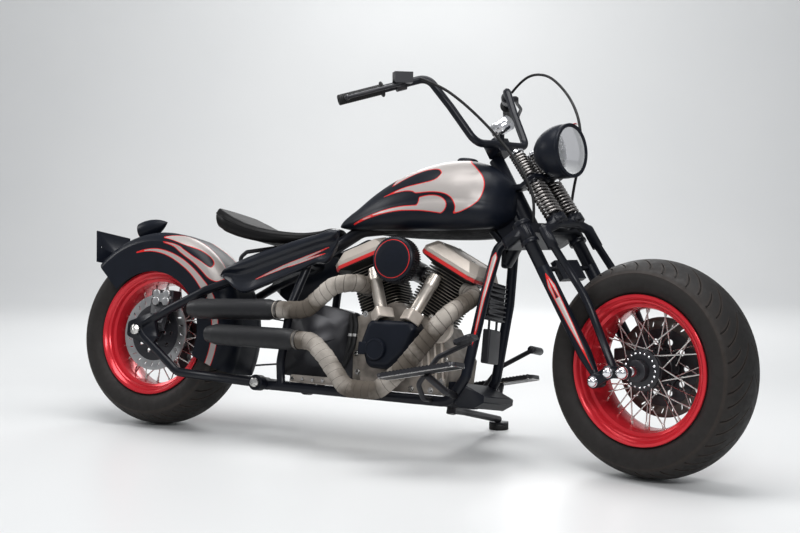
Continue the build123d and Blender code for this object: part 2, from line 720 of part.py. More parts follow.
def rear_legs():
    """Rear fork: stem, lower crown, spring perch and legs."""
    stem = rod(fork_point(0, 0, NECK_LOW - 20), fork_point(0, 0, 180), 16)
    cover = rod(fork_point(0, 0, NECK_HIGH + 5), fork_point(0, 0, 184), 24)
    crown = extrude(Pos(26, 0, 0) * RectangleRounded(110, 2 * LEG_Y + 54, 26), amount=32)
    crown = FORK * Pos(0, 0, CROWN_T + 2) * crown
    ankle = PIVOT_T + 90
    leg = rod(fork_point(REAR_LEG_A, -LEG_Y, CROWN_T + 10), fork_point(REAR_LEG_A, -LEG_Y, ankle), REAR_LEG_R)
    leg += FORK * Pos(REAR_LEG_A, -LEG_Y, ankle - 30) * Cone(13, REAR_LEG_R, 60)
    leg += rod(fork_point(REAR_LEG_A, -LEG_Y, ankle - 58), fork_point(REAR_LEG_A, -LEG_Y, PIVOT_T), 13)
    collar = rod(fork_point(REAR_LEG_A, -LEG_Y, CROWN_T - 20), fork_point(REAR_LEG_A, -LEG_Y, CROWN_T + 40), 26)
    eye = rod(fork_point(REAR_LEG_A, -LEG_Y - 14, PIVOT_T), fork_point(REAR_LEG_A, -LEG_Y + 14, PIVOT_T), 20)
    arm = fork_plate([(-24, 50), (24, 50), (96, 20), (120, 20), (120, 34), (96, 36), (24, 72), (-24, 72)], 24)
    brace = rod(fork_point(REAR_LEG_A, -LEG_Y, BRACE_T), fork_point(REAR_LEG_A, LEG_Y, BRACE_T), 8)
    brace += fork_plate([(REAR_LEG_A - 9, BRACE_T - 40), (REAR_LEG_A + 9, BRACE_T - 40), (REAR_LEG_A + 9, BRACE_T + 26), (REAR_LEG_A - 9, BRACE_T + 26)], 62)
    perch = fork_plate([(78, PERCH_T - 6), (146, PERCH_T - 6), (146, PERCH_T + 6), (78, PERCH_T + 6)], 78)
    solid = mirrored(leg + collar + eye) + crown + stem + cover + arm + brace + perch
    return solid - mirrored(rod(rod_point(-20), rod_point(80), 8))


def front_legs():
    """Spring fork: slim bowed legs under an arched yoke."""
    leg = tube(
        [
            fork_point(116, -FRONT_LEG_Y, -176),
            fork_point(141, -FRONT_LEG_Y, -405),
            fork_point(116, -FRONT_LEG_Y, PIVOT_T),
        ],
        FRONT_LEG_R,
        400,
    )
    eye = rod(fork_point(116, -LEG_Y - 14, PIVOT_T), fork_point(116, -LEG_Y + 16, PIVOT_T), 17)
    socket = rod(fork_point(118, -FRONT_LEG_Y, -215), fork_point(116, -FRONT_LEG_Y, -150), 17)
    shoulder = rod(fork_point(116, -FRONT_LEG_Y, -152), fork_point(128, -SPRING_Y, -134), 16)
    knee = Pos(*fork_point(116, -FRONT_LEG_Y, -152)) * Sphere(17)
    seat_pad = rod(rod_point(-138), rod_point(-114), SPRING_R + 1)
    bridge = rod(fork_point(128, -SPRING_Y, -134), fork_point(128, SPRING_Y, -134), 16)
    return mirrored(leg + eye + socket + knee + shoulder + seat_pad) + bridge


def coil(start, end, radius, turns):
    """Spring drawn as a stack of round turns on its rod."""
    length = (end - start).length
    pitch = length / turns
    wire = pitch * 0.34
    inner = radius - 2 * wire
    outline = [Line((0, 0), (inner, 0))]
    here = (inner, 0)
    for i in range(turns):
        low = (inner + wire, pitch * (i + 0.5) - wire)
        top = (inner + wire, pitch * (i + 0.5) + wire)
        outline.append(Line(here, low))
        outline.append(ThreePointArc(low, (radius, pitch * (i + 0.5)), top))
        here = (inner, pitch * (i + 1))
        outline.append(Line(top, here))
    outline.append(Line(here, (0, length)))
    outline.append(Line((0, length), (0, 0)))
    solid = revolve(Plane.XZ * make_face(Curve() + outline), Axis.Z)
    return Plane(origin=start, z_dir=end - start) * solid


def fork_springs():
    """Main springs below the perch, rebound springs above it, rods and caps."""
    low = coil(rod_point(-113), rod_point(PERCH_T - 10), SPRING_R, 11)
    high = coil(rod_point(PERCH_T + 10), rod_point(132), TOP_SPRING_R, 8)
    pin = rod(rod_point(0), rod_point(140), 7)
    cap = rod(rod_point(131), rod_point(148), 21)
    return mirrored(low + high + pin + cap)


def rockers():
    """Leading links between both leg pairs and the axle."""
    y = -LEG_Y - 21.6
    spots = [fork_point(REAR_LEG_A, 0, PIVOT_T), fork_point(116, 0, PIVOT_T), FRONT_AXLE]
    link = Part()
    for p in spots:
        link += rod((p.X, y - 7, p.Z), (p.X, y + 7, p.Z), 20)
    for a, b in zip(spots, spots[1:]):
        turn = degrees(atan2(b.Z - a.Z, b.X - a.X))
        mid = (a + b) * 0.5
        link += Pos(mid.X, y, mid.Z) * Rot(0, -turn, 0) * Box((b - a).length, 14, 34)
    for p in spots[:2]:
        link += Pos(p.X, y - 7, p.Z) * Sphere(15)
        link -= rod((p.X, y + 7, p.Z), (p.X, y + 40, p.Z), 30)
    link -= rod((WHEELBASE, -220, AXLE_Z), (WHEELBASE, 0, AXLE_Z), AXLE_R + AXLE_CLEAR)
    return mirrored(link)


def front_axle():
    """Through axle with spacers and ball caps."""
    inner = LEG_Y + 14
    outer = LEG_Y + 29.2
    half = rod((WHEELBASE, 0, AXLE_Z), (WHEELBASE, -outer - 6, AXLE_Z), AXLE_R)
    half += rod((WHEELBASE, -97, AXLE_Z), (WHEELBASE, -inner, AXLE_Z), 15)
    ball = Pos(WHEELBASE, -outer - 6, AXLE_Z) * Sphere(19)
    ball -= block((WHEELBASE - 30, -outer, AXLE_Z - 30), (WHEELBASE + 30, -outer + 40, AXLE_Z + 30))
    return mirrored(half + ball)


def front_caliper():
    """Caliper over the front disc on the left."""
    low = Vector(WHEELBASE - FRONT_DISC_R - 14, DISC_Y - 14, AXLE_Z - 30)
    body = block((low.X, low.Y, low.Z), (low.X + 66, DISC_Y + 36, low.Z + 78), 6)
    body -= rod((WHEELBASE, DISC_Y - 7, AXLE_Z), (WHEELBASE, DISC_Y + 7, AXLE_Z), FRONT_DISC_R + 6)
    lug = PIVOT_T + 53
    tie = rod((low.X + 33, DISC_Y + 30, low.Z + 41), fork_point(REAR_LEG_A, LEG_Y - 17.5, lug), 9)
    return body + tie


BAR_TOP = neck_point(-213, -206, 412)
BAR_END = neck_point(-381, -438, 333)
GAUGE_AT = neck_point(-75, 0, 262)
LAMP_AT = neck_point(197, 0, 176)
BAR_DIR = (BAR_END - BAR_TOP).normalized()
BAR_FORE = Vector(-BAR_DIR.Y, BAR_DIR.X, 0).normalized()


def handlebar():
    """Raised bar with pulled-back ends on its riser clamp."""
    right = [neck_point(-75, -134, 204), neck_point(-151, -168, 319), BAR_TOP, BAR_END]
    left = [Vector(p.X, -p.Y, p.Z) for p in right]
    bar = tube(right[::-1] + left, BAR_R, 42)
    post = Pos(*neck_point(-87, 0, 192)) * Rot(0, -RAKE, 0) * Box(52, 72, 52)
    stalk = rod(neck_point(-75, 0, 200), neck_point(-75, 0, 240), 8)
    stalk -= Pos(*GAUGE_AT) * Rot(0, 65, 0) * Cylinder(25 + GAP, 80)
    solid = bar + post + stalk - rod(fork_point(0, 0, 100), fork_point(0, 0, 184 + GAP), 60)
    for side in (1, -1):
        end = Vector(BAR_END.X, side * BAR_END.Y, BAR_END.Z)
        axis = Vector(BAR_DIR.X, side * BAR_DIR.Y, BAR_DIR.Z)
        solid -= rod(end - axis * 40, end + axis * 20, 9)
    return solid


def grips():
    """Rubber grips with inner flanges."""
    inner = BAR_TOP + BAR_DIR * 150
    solid = rod(inner, BAR_END, GRIP_R) + rod(inner, inner + BAR_DIR * 7, 25)
    return mirrored(solid - rod(inner - BAR_DIR * 20, BAR_END + BAR_DIR * 20, BAR_R + 0.3))


def hand_controls():
    """Lever clamps and levers, with a brake master cylinder on the right."""
    clamp = BAR_TOP + BAR_DIR * 92
    body = rod(clamp - BAR_DIR * 16, clamp + BAR_DIR * 16, 20)
    perch = clamp + BAR_FORE * 34
    body += rod(clamp + BAR_FORE * 8, perch, 11)
    lever = tube(
        [perch - BAR_DIR * 8, perch + BAR_DIR * 40, perch + BAR_FORE * 14 + BAR_DIR * 95, perch + BAR_DIR * 182],
        6,
        60,
    )
    body += lever + Pos(*(perch + BAR_DIR * 182)) * Sphere(9)
    side = body - rod(clamp - BAR_DIR * 40, clamp + BAR_DIR * 40, BAR_R + 0.3)
    tank_at = clamp + BAR_FORE * 34 + Vector(0, 0, 18)
    frame = Plane(origin=tank_at, x_dir=BAR_DIR, z_dir=(0, 0, 1))
    return mirrored(side) + frame * Box(58, 40, 34)


def control_cables():
    """Brake hose on the right and clutch cable on the left, both down to the lower crown."""
    hose = [
        neck_point(-211, -244, 406),
        neck_point(-147, -226, 380),
        neck_point(-101, -186, 338),
        neck_point(-55, -136, 278),
        neck_point(-3, -104, 212),
        neck_point(47, -94, 152),
        neck_point(99, -92, 78),
        neck_point(125, -94, 12),
        neck_point(120, -96, -47.1),
    ]
    cable = [
        neck_point(-233, 262, 406),
        neck_point(-199, 264, 440),
        neck_point(-141, 256, 462),
        neck_point(-61, 232, 450),
        neck_point(15, 198, 406),
        neck_point(87, 160, 346),
        neck_point(137, 128, 278),
        neck_point(155, 112, 200),
        neck_point(149, 100, 118),
        neck_point(135, 94, 46),
        neck_point(121, 96, -47.1),
    ]
    return tube(hose, 4.5, 40) + tube(cable, 4.5, 32)


def headlamp():
    """Bullet headlamp shell."""
    edges = [
        Line((0, 84), (0, 74)),
        Line((0, 74), (-12, 74)),
        ThreePointArc((-12, 74), (-100, 46), (-132, 0)),
        Line((-132, 0), (-140, 0)),
        ThreePointArc((-140, 0), (-104, 56), (-14, 84)),
        Line((-14, 84), (0, 84)),
    ]
    shell = revolve(make_face(Curve() + edges), Axis.X)
    bracket = FORK * Pos(158, 0, PERCH_T - 4) * Box(23, 30, 16)
    return Pos(*LAMP_AT) * Rot(0, -4, 0) * shell + bracket


def headlamp_lens():
    """Clear domed lens."""
    dome = Pos(12 - 200, 0, 0) * Sphere(200)
    plug = Rot(0, 90, 0) * Cylinder(73.5, 24)
    return Pos(*LAMP_AT) * Rot(0, -4, 0) * (dome & plug)


def gauge():
    """Small round instrument above the bar clamp."""
    return Pos(*GAUGE_AT) * Rot(0, 65, 0) * Cylinder(25, 64)


def park_angles():
    """Pitch and lift that set both leaned tyres on the ground."""
    lean = radians(LEAN)
    axis = Vector(0, 1, 0).rotate(STEER_AXIS_FREE, STEER).rotate(Axis.X, -LEAN)
    centre = FRONT_AXLE - Vector(NECK_X, 0, NECK_Z)
    centre = centre.rotate(STEER_AXIS_FREE, STEER) + Vector(NECK_X, 0, NECK_Z)
    centre = centre.rotate(Axis.X, -LEAN)
    camber = asin(abs(axis.Z))
    front = centre.Z - (TYRE_R - CROWN_R) * cos(camber) - CROWN_R
    rear = (AXLE_Z - TYRE_R + CROWN_R) * cos(lean) - CROWN_R
    return degrees(atan2(front - rear, centre.X)), -rear


STEER_AXIS_FREE = Axis((0, 0, 0), UP)
PITCH, LIFT = park_angles()


def parked(shape):
    """Lean, pitch and lift from the upright frame to the parked one."""
    return Pos(0, 0, LIFT) * shape.rotate(Axis.X, -LEAN).rotate(Axis.Y, PITCH)


def steered(shape):
    """Turn a fork piece to the parked steering angle."""
    return shape.rotate(STEER_AXIS, STEER)


def upright(point):
    """Parked point in the upright frame."""
    return (point - Vector(0, 0, LIFT)).rotate(Axis.Y, -PITCH).rotate(Axis.X, LEAN)


def side_stand():
    """Swinging leg with a flat foot, out on its stop."""
    foot = Pos(FOOT_X, FOOT_Y, PUCK_H + FOOT_T / 2) * extrude(RectangleRounded(62, 44, 10), amount=FOOT_T / 2, both=True)
    ankle = upright(Vector(FOOT_X, FOOT_Y, PUCK_H + FOOT_T + 8))
    top = Vector(*STAND_PIVOT) - Vector(0, 0, STAND_DROP)
    leg = tube([top, top + Vector(10, 80, -2), ankle], 12, 60)
    hinge = Plane(origin=STAND_PIVOT, x_dir=(1, 0, 0), z_dir=-Vector(*STAND_AXIS))
    hub = hinge * Cylinder(16, STAND_HUB)
    return parked(leg + hub) + foot


def stand_puck():
    """Round pad under the stand's foot."""
    return Pos(FOOT_X, FOOT_Y, PUCK_H / 2) * Cylinder(PUCK_R, PUCK_H)


def front_wheel(solid):
    """Put a wheel piece on the front axle."""
    return Pos(*FRONT_AXLE) * solid


def rear_wheel(solid):
    """Put a wheel piece on the rear axle."""
    return Pos(*REAR_AXLE) * solid


def build():
    """All nodes in the parked frame, centred on the ground."""
    chassis = {
        "main_frame": main_frame(),
        "swingarm": swingarm(),
        "chassis_pins": chassis_pins(),
        "rear_fender": rear_fender(),
        "tail_lamp": tail_lamp(),
        "tail_lens": tail_lens(),
        "fuel_tank": tank(),
        "seat": seat(),
        "seat_springs": seat_springs(),
        "side_covers": side_covers(),
        "crankcase": crankcase(),
        "cylinders": cylinders(),
        "rocker_covers": rocker_covers(),
        "gearbox": gearbox(),
        "primary_cover": primary_cover(),
        "cam_cover": cam_cover(),
        "pushrod_tubes": pushrod_tubes(),
        "air_cleaner": air_cleaner(),
        "headers": headers(),
        "mufflers": mufflers(),
        "front_boxes": front_boxes(),
        "foot_controls": foot_controls(),
        "rear_caliper": rear_caliper(),
        "drive_belt": drive_belt(),
        "rear_tyre": rear_wheel(tyre()),
        "rear_rim": rear_wheel(rim()),
        "rear_spokes": rear_wheel(wheel_centre(134, 84)),
        "rear_disc": rear_wheel(rear_disc()),
        "rear_pulley": rear_wheel(pulley()),
    }
    fork = {
        "rear_legs": rear_legs(),
        "front_legs": front_legs(),
        "fork_springs": fork_springs(),
        "rockers": rockers(),
        "front_axle": front_axle(),
        "front_caliper": front_caliper(),
        "handlebar": handlebar(),
        "grips": grips(),
        "hand_controls": hand_controls(),
        "control_cables": control_cables(),
        "headlamp": headlamp(),
        "headlamp_lens": headlamp_lens(),
        "gauge": gauge(),
        "front_tyre": front_wheel(tyre()),
        "front_rim": front_wheel(rim()),
        "front_spokes": front_wheel(wheel_centre(96, 96)),
        "front_disc": front_wheel(front_disc()),
    }
    nodes = {name: parked(solid) for name, solid in chassis.items()}
    nodes.update({name: parked(steered(solid)) for name, solid in fork.items()})
    nodes["side_stand"] = side_stand()
    nodes["stand_puck"] = stand_puck()
    boxes = [solid.bounding_box() for solid in nodes.values()]
    low_x = min(box.min.X for box in boxes)
    low_y = min(box.min.Y for box in boxes)
    low_z = min(box.min.Z for box in boxes)
    high_x = max(box.max.X for box in boxes)
    high_y = max(box.max.Y for box in boxes)
    centre = Pos(-(low_x + high_x) / 2, -(low_y + high_y) / 2, -low_z)
    return {name: centre * solid for name, solid in nodes.items()}


def main():
    os.makedirs("parts", exist_ok=True)
    for name, solid in build().items():
        export_step(solid, f"parts/{name}.step")


if __name__ == "__main__":
    main()
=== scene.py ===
"""Looks of a low custom motorcycle parked on its side stand: paint, metal, rubber, leather and studio."""

from __future__ import annotations

import json
import logging
import math
from collections.abc import Callable, Sequence
from dataclasses import dataclass
from enum import Enum
from functools import cache

import bmesh
import bpy
import numpy as np
from mathutils import Matrix, Vector

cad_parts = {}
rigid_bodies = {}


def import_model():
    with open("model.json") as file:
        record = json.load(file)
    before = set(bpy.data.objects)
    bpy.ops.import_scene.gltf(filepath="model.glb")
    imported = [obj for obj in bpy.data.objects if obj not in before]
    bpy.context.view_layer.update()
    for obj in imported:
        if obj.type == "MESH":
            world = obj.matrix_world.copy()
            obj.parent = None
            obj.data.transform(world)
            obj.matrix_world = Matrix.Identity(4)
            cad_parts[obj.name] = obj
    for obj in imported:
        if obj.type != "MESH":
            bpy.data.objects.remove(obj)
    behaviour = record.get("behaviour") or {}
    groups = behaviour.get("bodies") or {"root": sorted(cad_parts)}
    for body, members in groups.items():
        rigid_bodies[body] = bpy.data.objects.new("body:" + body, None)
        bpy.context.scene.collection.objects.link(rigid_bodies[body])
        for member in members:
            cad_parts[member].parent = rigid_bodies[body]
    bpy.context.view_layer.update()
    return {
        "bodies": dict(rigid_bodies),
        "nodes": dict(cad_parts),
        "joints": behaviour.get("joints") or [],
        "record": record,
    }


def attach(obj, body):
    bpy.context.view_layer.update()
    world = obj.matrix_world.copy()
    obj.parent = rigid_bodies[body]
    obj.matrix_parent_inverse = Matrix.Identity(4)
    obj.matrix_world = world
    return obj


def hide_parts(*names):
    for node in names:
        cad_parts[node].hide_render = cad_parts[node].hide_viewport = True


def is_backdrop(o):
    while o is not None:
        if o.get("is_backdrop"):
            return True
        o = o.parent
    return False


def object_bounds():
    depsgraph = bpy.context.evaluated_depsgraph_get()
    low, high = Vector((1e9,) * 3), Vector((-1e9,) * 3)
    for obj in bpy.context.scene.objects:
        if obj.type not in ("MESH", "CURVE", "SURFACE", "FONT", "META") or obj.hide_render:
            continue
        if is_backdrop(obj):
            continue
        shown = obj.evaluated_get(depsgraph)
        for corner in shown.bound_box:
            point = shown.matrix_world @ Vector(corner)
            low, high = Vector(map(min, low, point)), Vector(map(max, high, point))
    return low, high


LOG = logging.getLogger("motorcycle")
MM = 0.001
RAKE = math.radians(31.5)
NECK_X = 1337.0
NECK_Z = 800.0
TURN = 2 * math.pi
TO_RIGHT = (0, -1, 0)

# Edges sharper than this stay sharp, in degrees.
CREASE = 38.0
# Width of the red line beside a scallop and pitch of the tape's turns, in millimetres.
EDGE_LINE = 2.6
WRAP_PITCH = 26.0
# Second colours of the patterns.
EDGE_RED = (0.62, 0.018, 0.016, 1.0)
PEARL = (0.40, 0.37, 0.352, 1.0)
SOOT = (0.095, 0.08, 0.065, 1.0)
THREAD_SHADE = (0.05, 0.045, 0.04, 1.0)
LAP_SHADE = (0.04, 0.034, 0.028, 1.0)
DUST = (0.042, 0.029, 0.022, 1.0)

Point = Sequence[float]
Radius = float | Callable[[float, float], float]


class Body(str, Enum):
    """Moving bodies of the machine."""

    CHASSIS = "chassis"
    FORK = "fork"
    FRONT = "front_wheel"
    REAR = "rear_wheel"
    STAND = "stand"


@dataclass(frozen=True)
class Axes:
    """Axes that a group of pieces is drawn on, in millimetres."""

    origin: Vector
    x: Vector
    y: Vector
    z: Vector

    def at(self, point: Point) -> Vector:
        """Point in metres for a point on these axes."""
        return self.matrix() @ Vector(point)

    def matrix(self) -> Matrix:
        """Matrix from these axes to the ground frame in metres."""
        turn = Matrix((self.x, self.y, self.z)).transposed().to_4x4()
        return Matrix.Translation(self.origin) @ turn @ Matrix.Scale(MM, 4)


class Machine:
    """Axes of the frame, fork and wheels, read from the joints."""

    def __init__(self, frame: dict) -> None:
        """Work out every set of axes.
        """
        joints = {joint["name"]: joint for joint in frame["joints"]}
        self.nodes = frame["nodes"]
        neck = Vector(joints["steering"]["pos_m"])
        steer = Vector(joints["steering"]["axis"]).normalized()
        self.chassis = self._upright(joints["rear_wheel_spin"], neck, steer)
        self.fork = self._upright(joints["front_wheel_spin"], neck, steer)
        side = self.fork.y
        self.springer = Axes(neck, side.cross(steer), side, steer)
        self.front = Axes(Vector(joints["front_wheel_spin"]["pos_m"]), self.fork.x, side, self.fork.z)
        rear = Vector(joints["rear_wheel_spin"]["pos_m"])
        self.rear = Axes(rear, self.chassis.x, self.chassis.y, self.chassis.z)

    @staticmethod
    def _upright(wheel: dict, neck: Vector, steer: Vector) -> Axes:
        """Upright axes for one wheel's side direction.

        Args:
            wheel: The wheel's joint.
            neck: Point on the steering axis.
            steer: Direction of the steering axis.

        Returns:
            Axes with X forward, Y to the left and Z up the leaning machine.
        """
        side = Vector(wheel["axis"]).normalized()
        ahead = side.cross(steer)
        x = ahead * math.cos(RAKE) - steer * math.sin(RAKE)
        z = steer * math.cos(RAKE) + ahead * math.sin(RAKE)
        return Axes(neck - (x * NECK_X + z * NECK_Z) * MM, x, side, z)


class Graph:
    """Short hand for building a node tree."""

    def __init__(self, tree: bpy.types.NodeTree) -> None:
        """Wrap an empty or existing tree."""
        self.tree = tree

    def add(self, kind: str, inputs: dict | None = None, **settings: object) -> bpy.types.Node:
        """Add a node.

        Args:
            kind: Node type.
            inputs: Socket name or index to a value or to another node's socket.
            settings: Attributes of the node.

        Returns:
            The new node.
        """
        node = self.tree.nodes.new(kind)
        for key, value in settings.items():
            setattr(node, key, value)
        for key, value in (inputs or {}).items():
            if isinstance(value, bpy.types.NodeSocket):
                self.tree.links.new(value, node.inputs[key])
            else:
                node.inputs[key].default_value = value
        return node

    def math(self, operation: str, *values: object) -> bpy.types.NodeSocket:
        """Result socket of a math node."""
        return self.add("ShaderNodeMath", dict(enumerate(values)), operation=operation).outputs[0]

    def mix(self, share: object, low: object, high: object) -> bpy.types.NodeSocket:
        """Colour mixed between two by a share."""
        return self.add("ShaderNodeMix", {0: share, 6: low, 7: high}, data_type="RGBA").outputs[2]

    def noise(self, where: object, scale: float, detail: float = 3.0) -> bpy.types.NodeSocket:
        """Fractal noise at a scale per metre."""
        node = self.add("ShaderNodeTexNoise", {"Vector": where, "Scale": scale, "Detail": detail})
        return node.outputs[0]

    def spread(self, value: object, low: float, high: float) -> bpy.types.NodeSocket:
        """Middle of a noise spread over a range."""
        inputs = {"Value": value, "From Min": 0.3, "From Max": 0.7, "To Min": low, "To Max": high}
        return self.add("ShaderNodeMapRange", inputs).outputs[0]


class Pattern(Enum):
    """What a finish draws over its base colour."""

    PLAIN = "plain"
    SCALLOP = "scallop"
    WRAP = "wrap"
    LEATHER = "leather"
    RUBBER = "rubber"
    GLASS = "glass"


@dataclass(frozen=True)
class Finish:
    """Surface finish with its own noise, bump and pattern."""

    name: str
    colour: tuple[float, float, float]
    roughness: float
    metallic: float = 0.0
    coat: float = 0.0
    specular: float = 0.5
    mottle: float = 0.12
    mottle_scale: float = 14.0
    grain: float = 0.02
    grain_scale: float = 900.0
    pattern: Pattern = Pattern.PLAIN
    slot: str = "engine_black"

    def shade(self, share: float) -> tuple[float, float, float, float]:
        """Base colour made lighter or darker."""
        return (*(min(1.0, c * share) for c in self.colour), 1.0)

    def material(self) -> bpy.types.Material:
        """Material of this finish, or the one that already has its name.

        Returns:
            The material.
        """
        known = bpy.data.materials.get(self.name)
        if known:
            return known
        made = bpy.data.materials.new(self.name)
        made.use_nodes = True
        graph = Graph(made.node_tree)
        shader = made.node_tree.nodes["Principled BSDF"]
        where = graph.add("ShaderNodeTexCoord").outputs["Object"]
        cloud = graph.noise(where, self.mottle_scale, 5.0)
        fine = graph.noise(where, self.grain_scale, 2.0)
        colour = graph.mix(
            graph.spread(cloud, 0.0, 1.0), self.shade(1 - self.mottle), self.shade(1 + self.mottle)
        )
        patches = graph.noise(where, self.mottle_scale * 4)
        rough = graph.spread(patches, self.roughness * 0.85, self.roughness * 1.15)
        height: bpy.types.NodeSocket = fine
        metal: object = self.metallic
        if self.pattern is Pattern.SCALLOP:
            colour, metal = self._scallop(graph, colour)
        elif self.pattern is Pattern.WRAP:
            colour, height = self._wrap(graph, where, colour)
        elif self.pattern is Pattern.LEATHER:
            height = graph.add("ShaderNodeTexVoronoi", {"Vector": where, "Scale": 620.0}).outputs[0]
        elif self.pattern is Pattern.RUBBER:
            colour = self._rubber(graph, colour)
        bump = graph.add("ShaderNodeBump", {"Height": height, "Strength": 0.35, "Distance": self.grain * MM})
        links = made.node_tree.links
        links.new(colour, shader.inputs["Base Color"])
        links.new(rough, shader.inputs["Roughness"])
        links.new(bump.outputs[0], shader.inputs["Normal"])
        if isinstance(metal, bpy.types.NodeSocket):
            links.new(metal, shader.inputs["Metallic"])
        else:
            shader.inputs["Metallic"].default_value = metal
        shader.inputs["Specular IOR Level"].default_value = self.specular
        shader.inputs["Coat Weight"].default_value = self.coat
        shader.inputs["Coat Roughness"].default_value = self.roughness
        if self.pattern is Pattern.GLASS:
            shader.inputs["Transmission Weight"].default_value = 0.92
            shader.inputs["IOR"].default_value = 1.45
        return made

    def _scallop(self, graph: Graph, base: bpy.types.NodeSocket) -> tuple:
        """Pearl panels with a red edge, from the distance stored on the mesh.

        Args:
            graph: Tree to add to.
            base: Colour of the ground coat.

        Returns:
            Colour and metallic sockets.
        """
        distance = graph.add("ShaderNodeAttribute", attribute_name="scallop").outputs["Fac"]
        pearl = graph.math("LESS_THAN", distance, 0.0)
        edge = graph.math("LESS_THAN", distance, EDGE_LINE)
        coat = graph.mix(edge, base, EDGE_RED)
        colour = graph.mix(pearl, coat, PEARL)
        return colour, graph.math("MULTIPLY", pearl, 0.2)

    def _wrap(self, graph: Graph, where: object, base: bpy.types.NodeSocket) -> tuple:
        """Woven tape laid in turns, with soot.

        Args:
            graph: Tree to add to.
            where: Object coordinates.
            base: Colour of clean tape.

        Returns:
            Colour and height sockets.
        """
        path = graph.add("ShaderNodeUVMap", uv_map="path").outputs[0]
        weave = graph.add("ShaderNodeTexWave", {"Vector": path, "Scale": 160.0, "Distortion": 2.0})
        cross = graph.add("ShaderNodeTexWave", {"Vector": where, "Scale": 150.0}, bands_direction="Z")
        threads = graph.math("MULTIPLY", weave.outputs[1], cross.outputs[1])
        soot = graph.spread(graph.noise(where, 6.0, 6.0), -0.8, 1.7)
        dark = graph.mix(soot, base, SOOT)
        woven = graph.mix(graph.math("MULTIPLY", threads, 0.3), dark, THREAD_SHADE)
        spot = graph.add("ShaderNodeSeparateXYZ", {0: path})
        turns = graph.math("DIVIDE", spot.outputs[0], WRAP_PITCH * MM)
        lap = graph.math("FRACT", graph.math("ADD", turns, spot.outputs[1]))
        seam = graph.math("GREATER_THAN", lap, 0.93)
        return graph.mix(graph.math("MULTIPLY", seam, 0.7), woven, LAP_SHADE), threads

    def _rubber(self, graph: Graph, base: bpy.types.NodeSocket) -> bpy.types.NodeSocket:
        """Rubber with brown dust where the mesh says it is worn."""
        worn = graph.add("ShaderNodeAttribute", attribute_name="worn").outputs["Fac"]
        return graph.mix(graph.math("MULTIPLY", worn, 0.5), base, DUST)


# The frame has its own materials named rim_red, engine_black and chrome, and these three show those.
PAINT = (0.0056, 0.0074, 0.0125)
COATED = {"specular": 0.0, "grain": 0.004}
SCALLOPED = {**COATED, "pattern": Pattern.SCALLOP, "slot": "paint_black"}

BLACK = Finish("satin_black", PAINT, 0.36, coat=0.4, slot="paint_black", **COATED)
FRAME_BLACK = Finish("frame_black", (0.0050, 0.0060, 0.0098), 0.32, coat=0.5, slot="paint_frame", **COATED)
SCALLOPS = Finish("scallop_paint", PAINT, 0.35, coat=0.4, **SCALLOPED)
PANEL_PAINT = Finish("panel_paint", PAINT, 0.28, coat=0.75, **SCALLOPED)
RIM_RED = Finish("rim_red", (0.84, 0.040, 0.013), 0.32, specular=0.22, mottle=0.05, slot="rim_red")
BAND_RED = Finish("band_red", (0.62, 0.022, 0.022), 0.36, mottle=0.06, slot="rim_red")
RUBBER = Finish(
    "tyre_rubber", (0.0105, 0.0100, 0.0098), 0.66,
    specular=0.3, mottle=0.25, grain=0.15, pattern=Pattern.RUBBER, slot="tyre",
)
GRIP_RUBBER = Finish("grip_rubber", (0.008, 0.008, 0.0085), 0.6, specular=0.3, grain=0.1, slot="rubber")
STEEL = Finish("bright_steel", (0.58, 0.57, 0.55), 0.26, metallic=1.0, mottle=0.1, slot="steel")
DARK_STEEL = Finish("dark_steel", (0.16, 0.15, 0.14), 0.38, metallic=1.0, mottle=0.25, slot="steel")
SPRING_STEEL = Finish("spring_steel", (0.27, 0.255, 0.245), 0.28, metallic=1.0, mottle=0.2, slot="steel")
DISC_STEEL = Finish("disc_steel", (0.42, 0.42, 0.42), 0.36, metallic=1.0, grain_scale=1600.0, slot="steel")
DARK_DISC = Finish("dark_disc", (0.10, 0.088, 0.08), 0.42, metallic=1.0, grain_scale=1600.0, slot="steel")
CHROME = Finish("chrome", (0.78, 0.78, 0.79), 0.08, metallic=1.0, mottle=0.03, grain=0.004, slot="chrome")
CHAMPAGNE = Finish(
    "cast_champagne", (0.56, 0.50, 0.44), 0.42,
    metallic=0.4, grain=0.06, grain_scale=700.0, slot="engine_silver",
)
CASTING = Finish(
    "stained_casting", (0.30, 0.265, 0.23), 0.5, metallic=0.45,
    mottle=0.45, mottle_scale=22.0, grain=0.12, grain_scale=500.0, slot="engine_silver",
)
WORN_EDGE = Finish("worn_fin_edge", (0.30, 0.27, 0.23), 0.45, metallic=0.7, mottle=0.5, slot="engine_silver")
ALUMINIUM = Finish("sanded_aluminium", (0.58, 0.53, 0.47), 0.34, metallic=0.8, slot="engine_silver")
ENGINE_BLACK = Finish("engine_black", (0.0075, 0.0075, 0.0085), 0.44, specular=0.35, grain=0.05)
FIN_BLACK = Finish("fin_black", (0.011, 0.0105, 0.01), 0.5, specular=0.3, grain=0.05)
MUFFLER_BLACK = Finish("muffler_black", (0.009, 0.0092, 0.0105), 0.52, specular=0.35, grain=0.04)
LEATHER = Finish(
    "saddle_leather", (0.0060, 0.0058, 0.0060), 0.42,
    coat=0.3, specular=0.0, grain=0.03, pattern=Pattern.LEATHER, slot="leather",
)
TAPE = Finish(
    "heat_tape", (0.40, 0.365, 0.325), 0.88,
    specular=0.2, mottle=0.2, grain=0.5, pattern=Pattern.WRAP, slot="wrap",
)
CLEAR = Finish(
    "lamp_glass", (0.96, 0.97, 0.98), 0.02, mottle=0.0, grain=0.01, pattern=Pattern.GLASS, slot="lens_clear"
)
RUBY = Finish("ruby_glass", (0.62, 0.01, 0.01), 0.08, mottle=0.1, pattern=Pattern.GLASS, slot="lens_red")
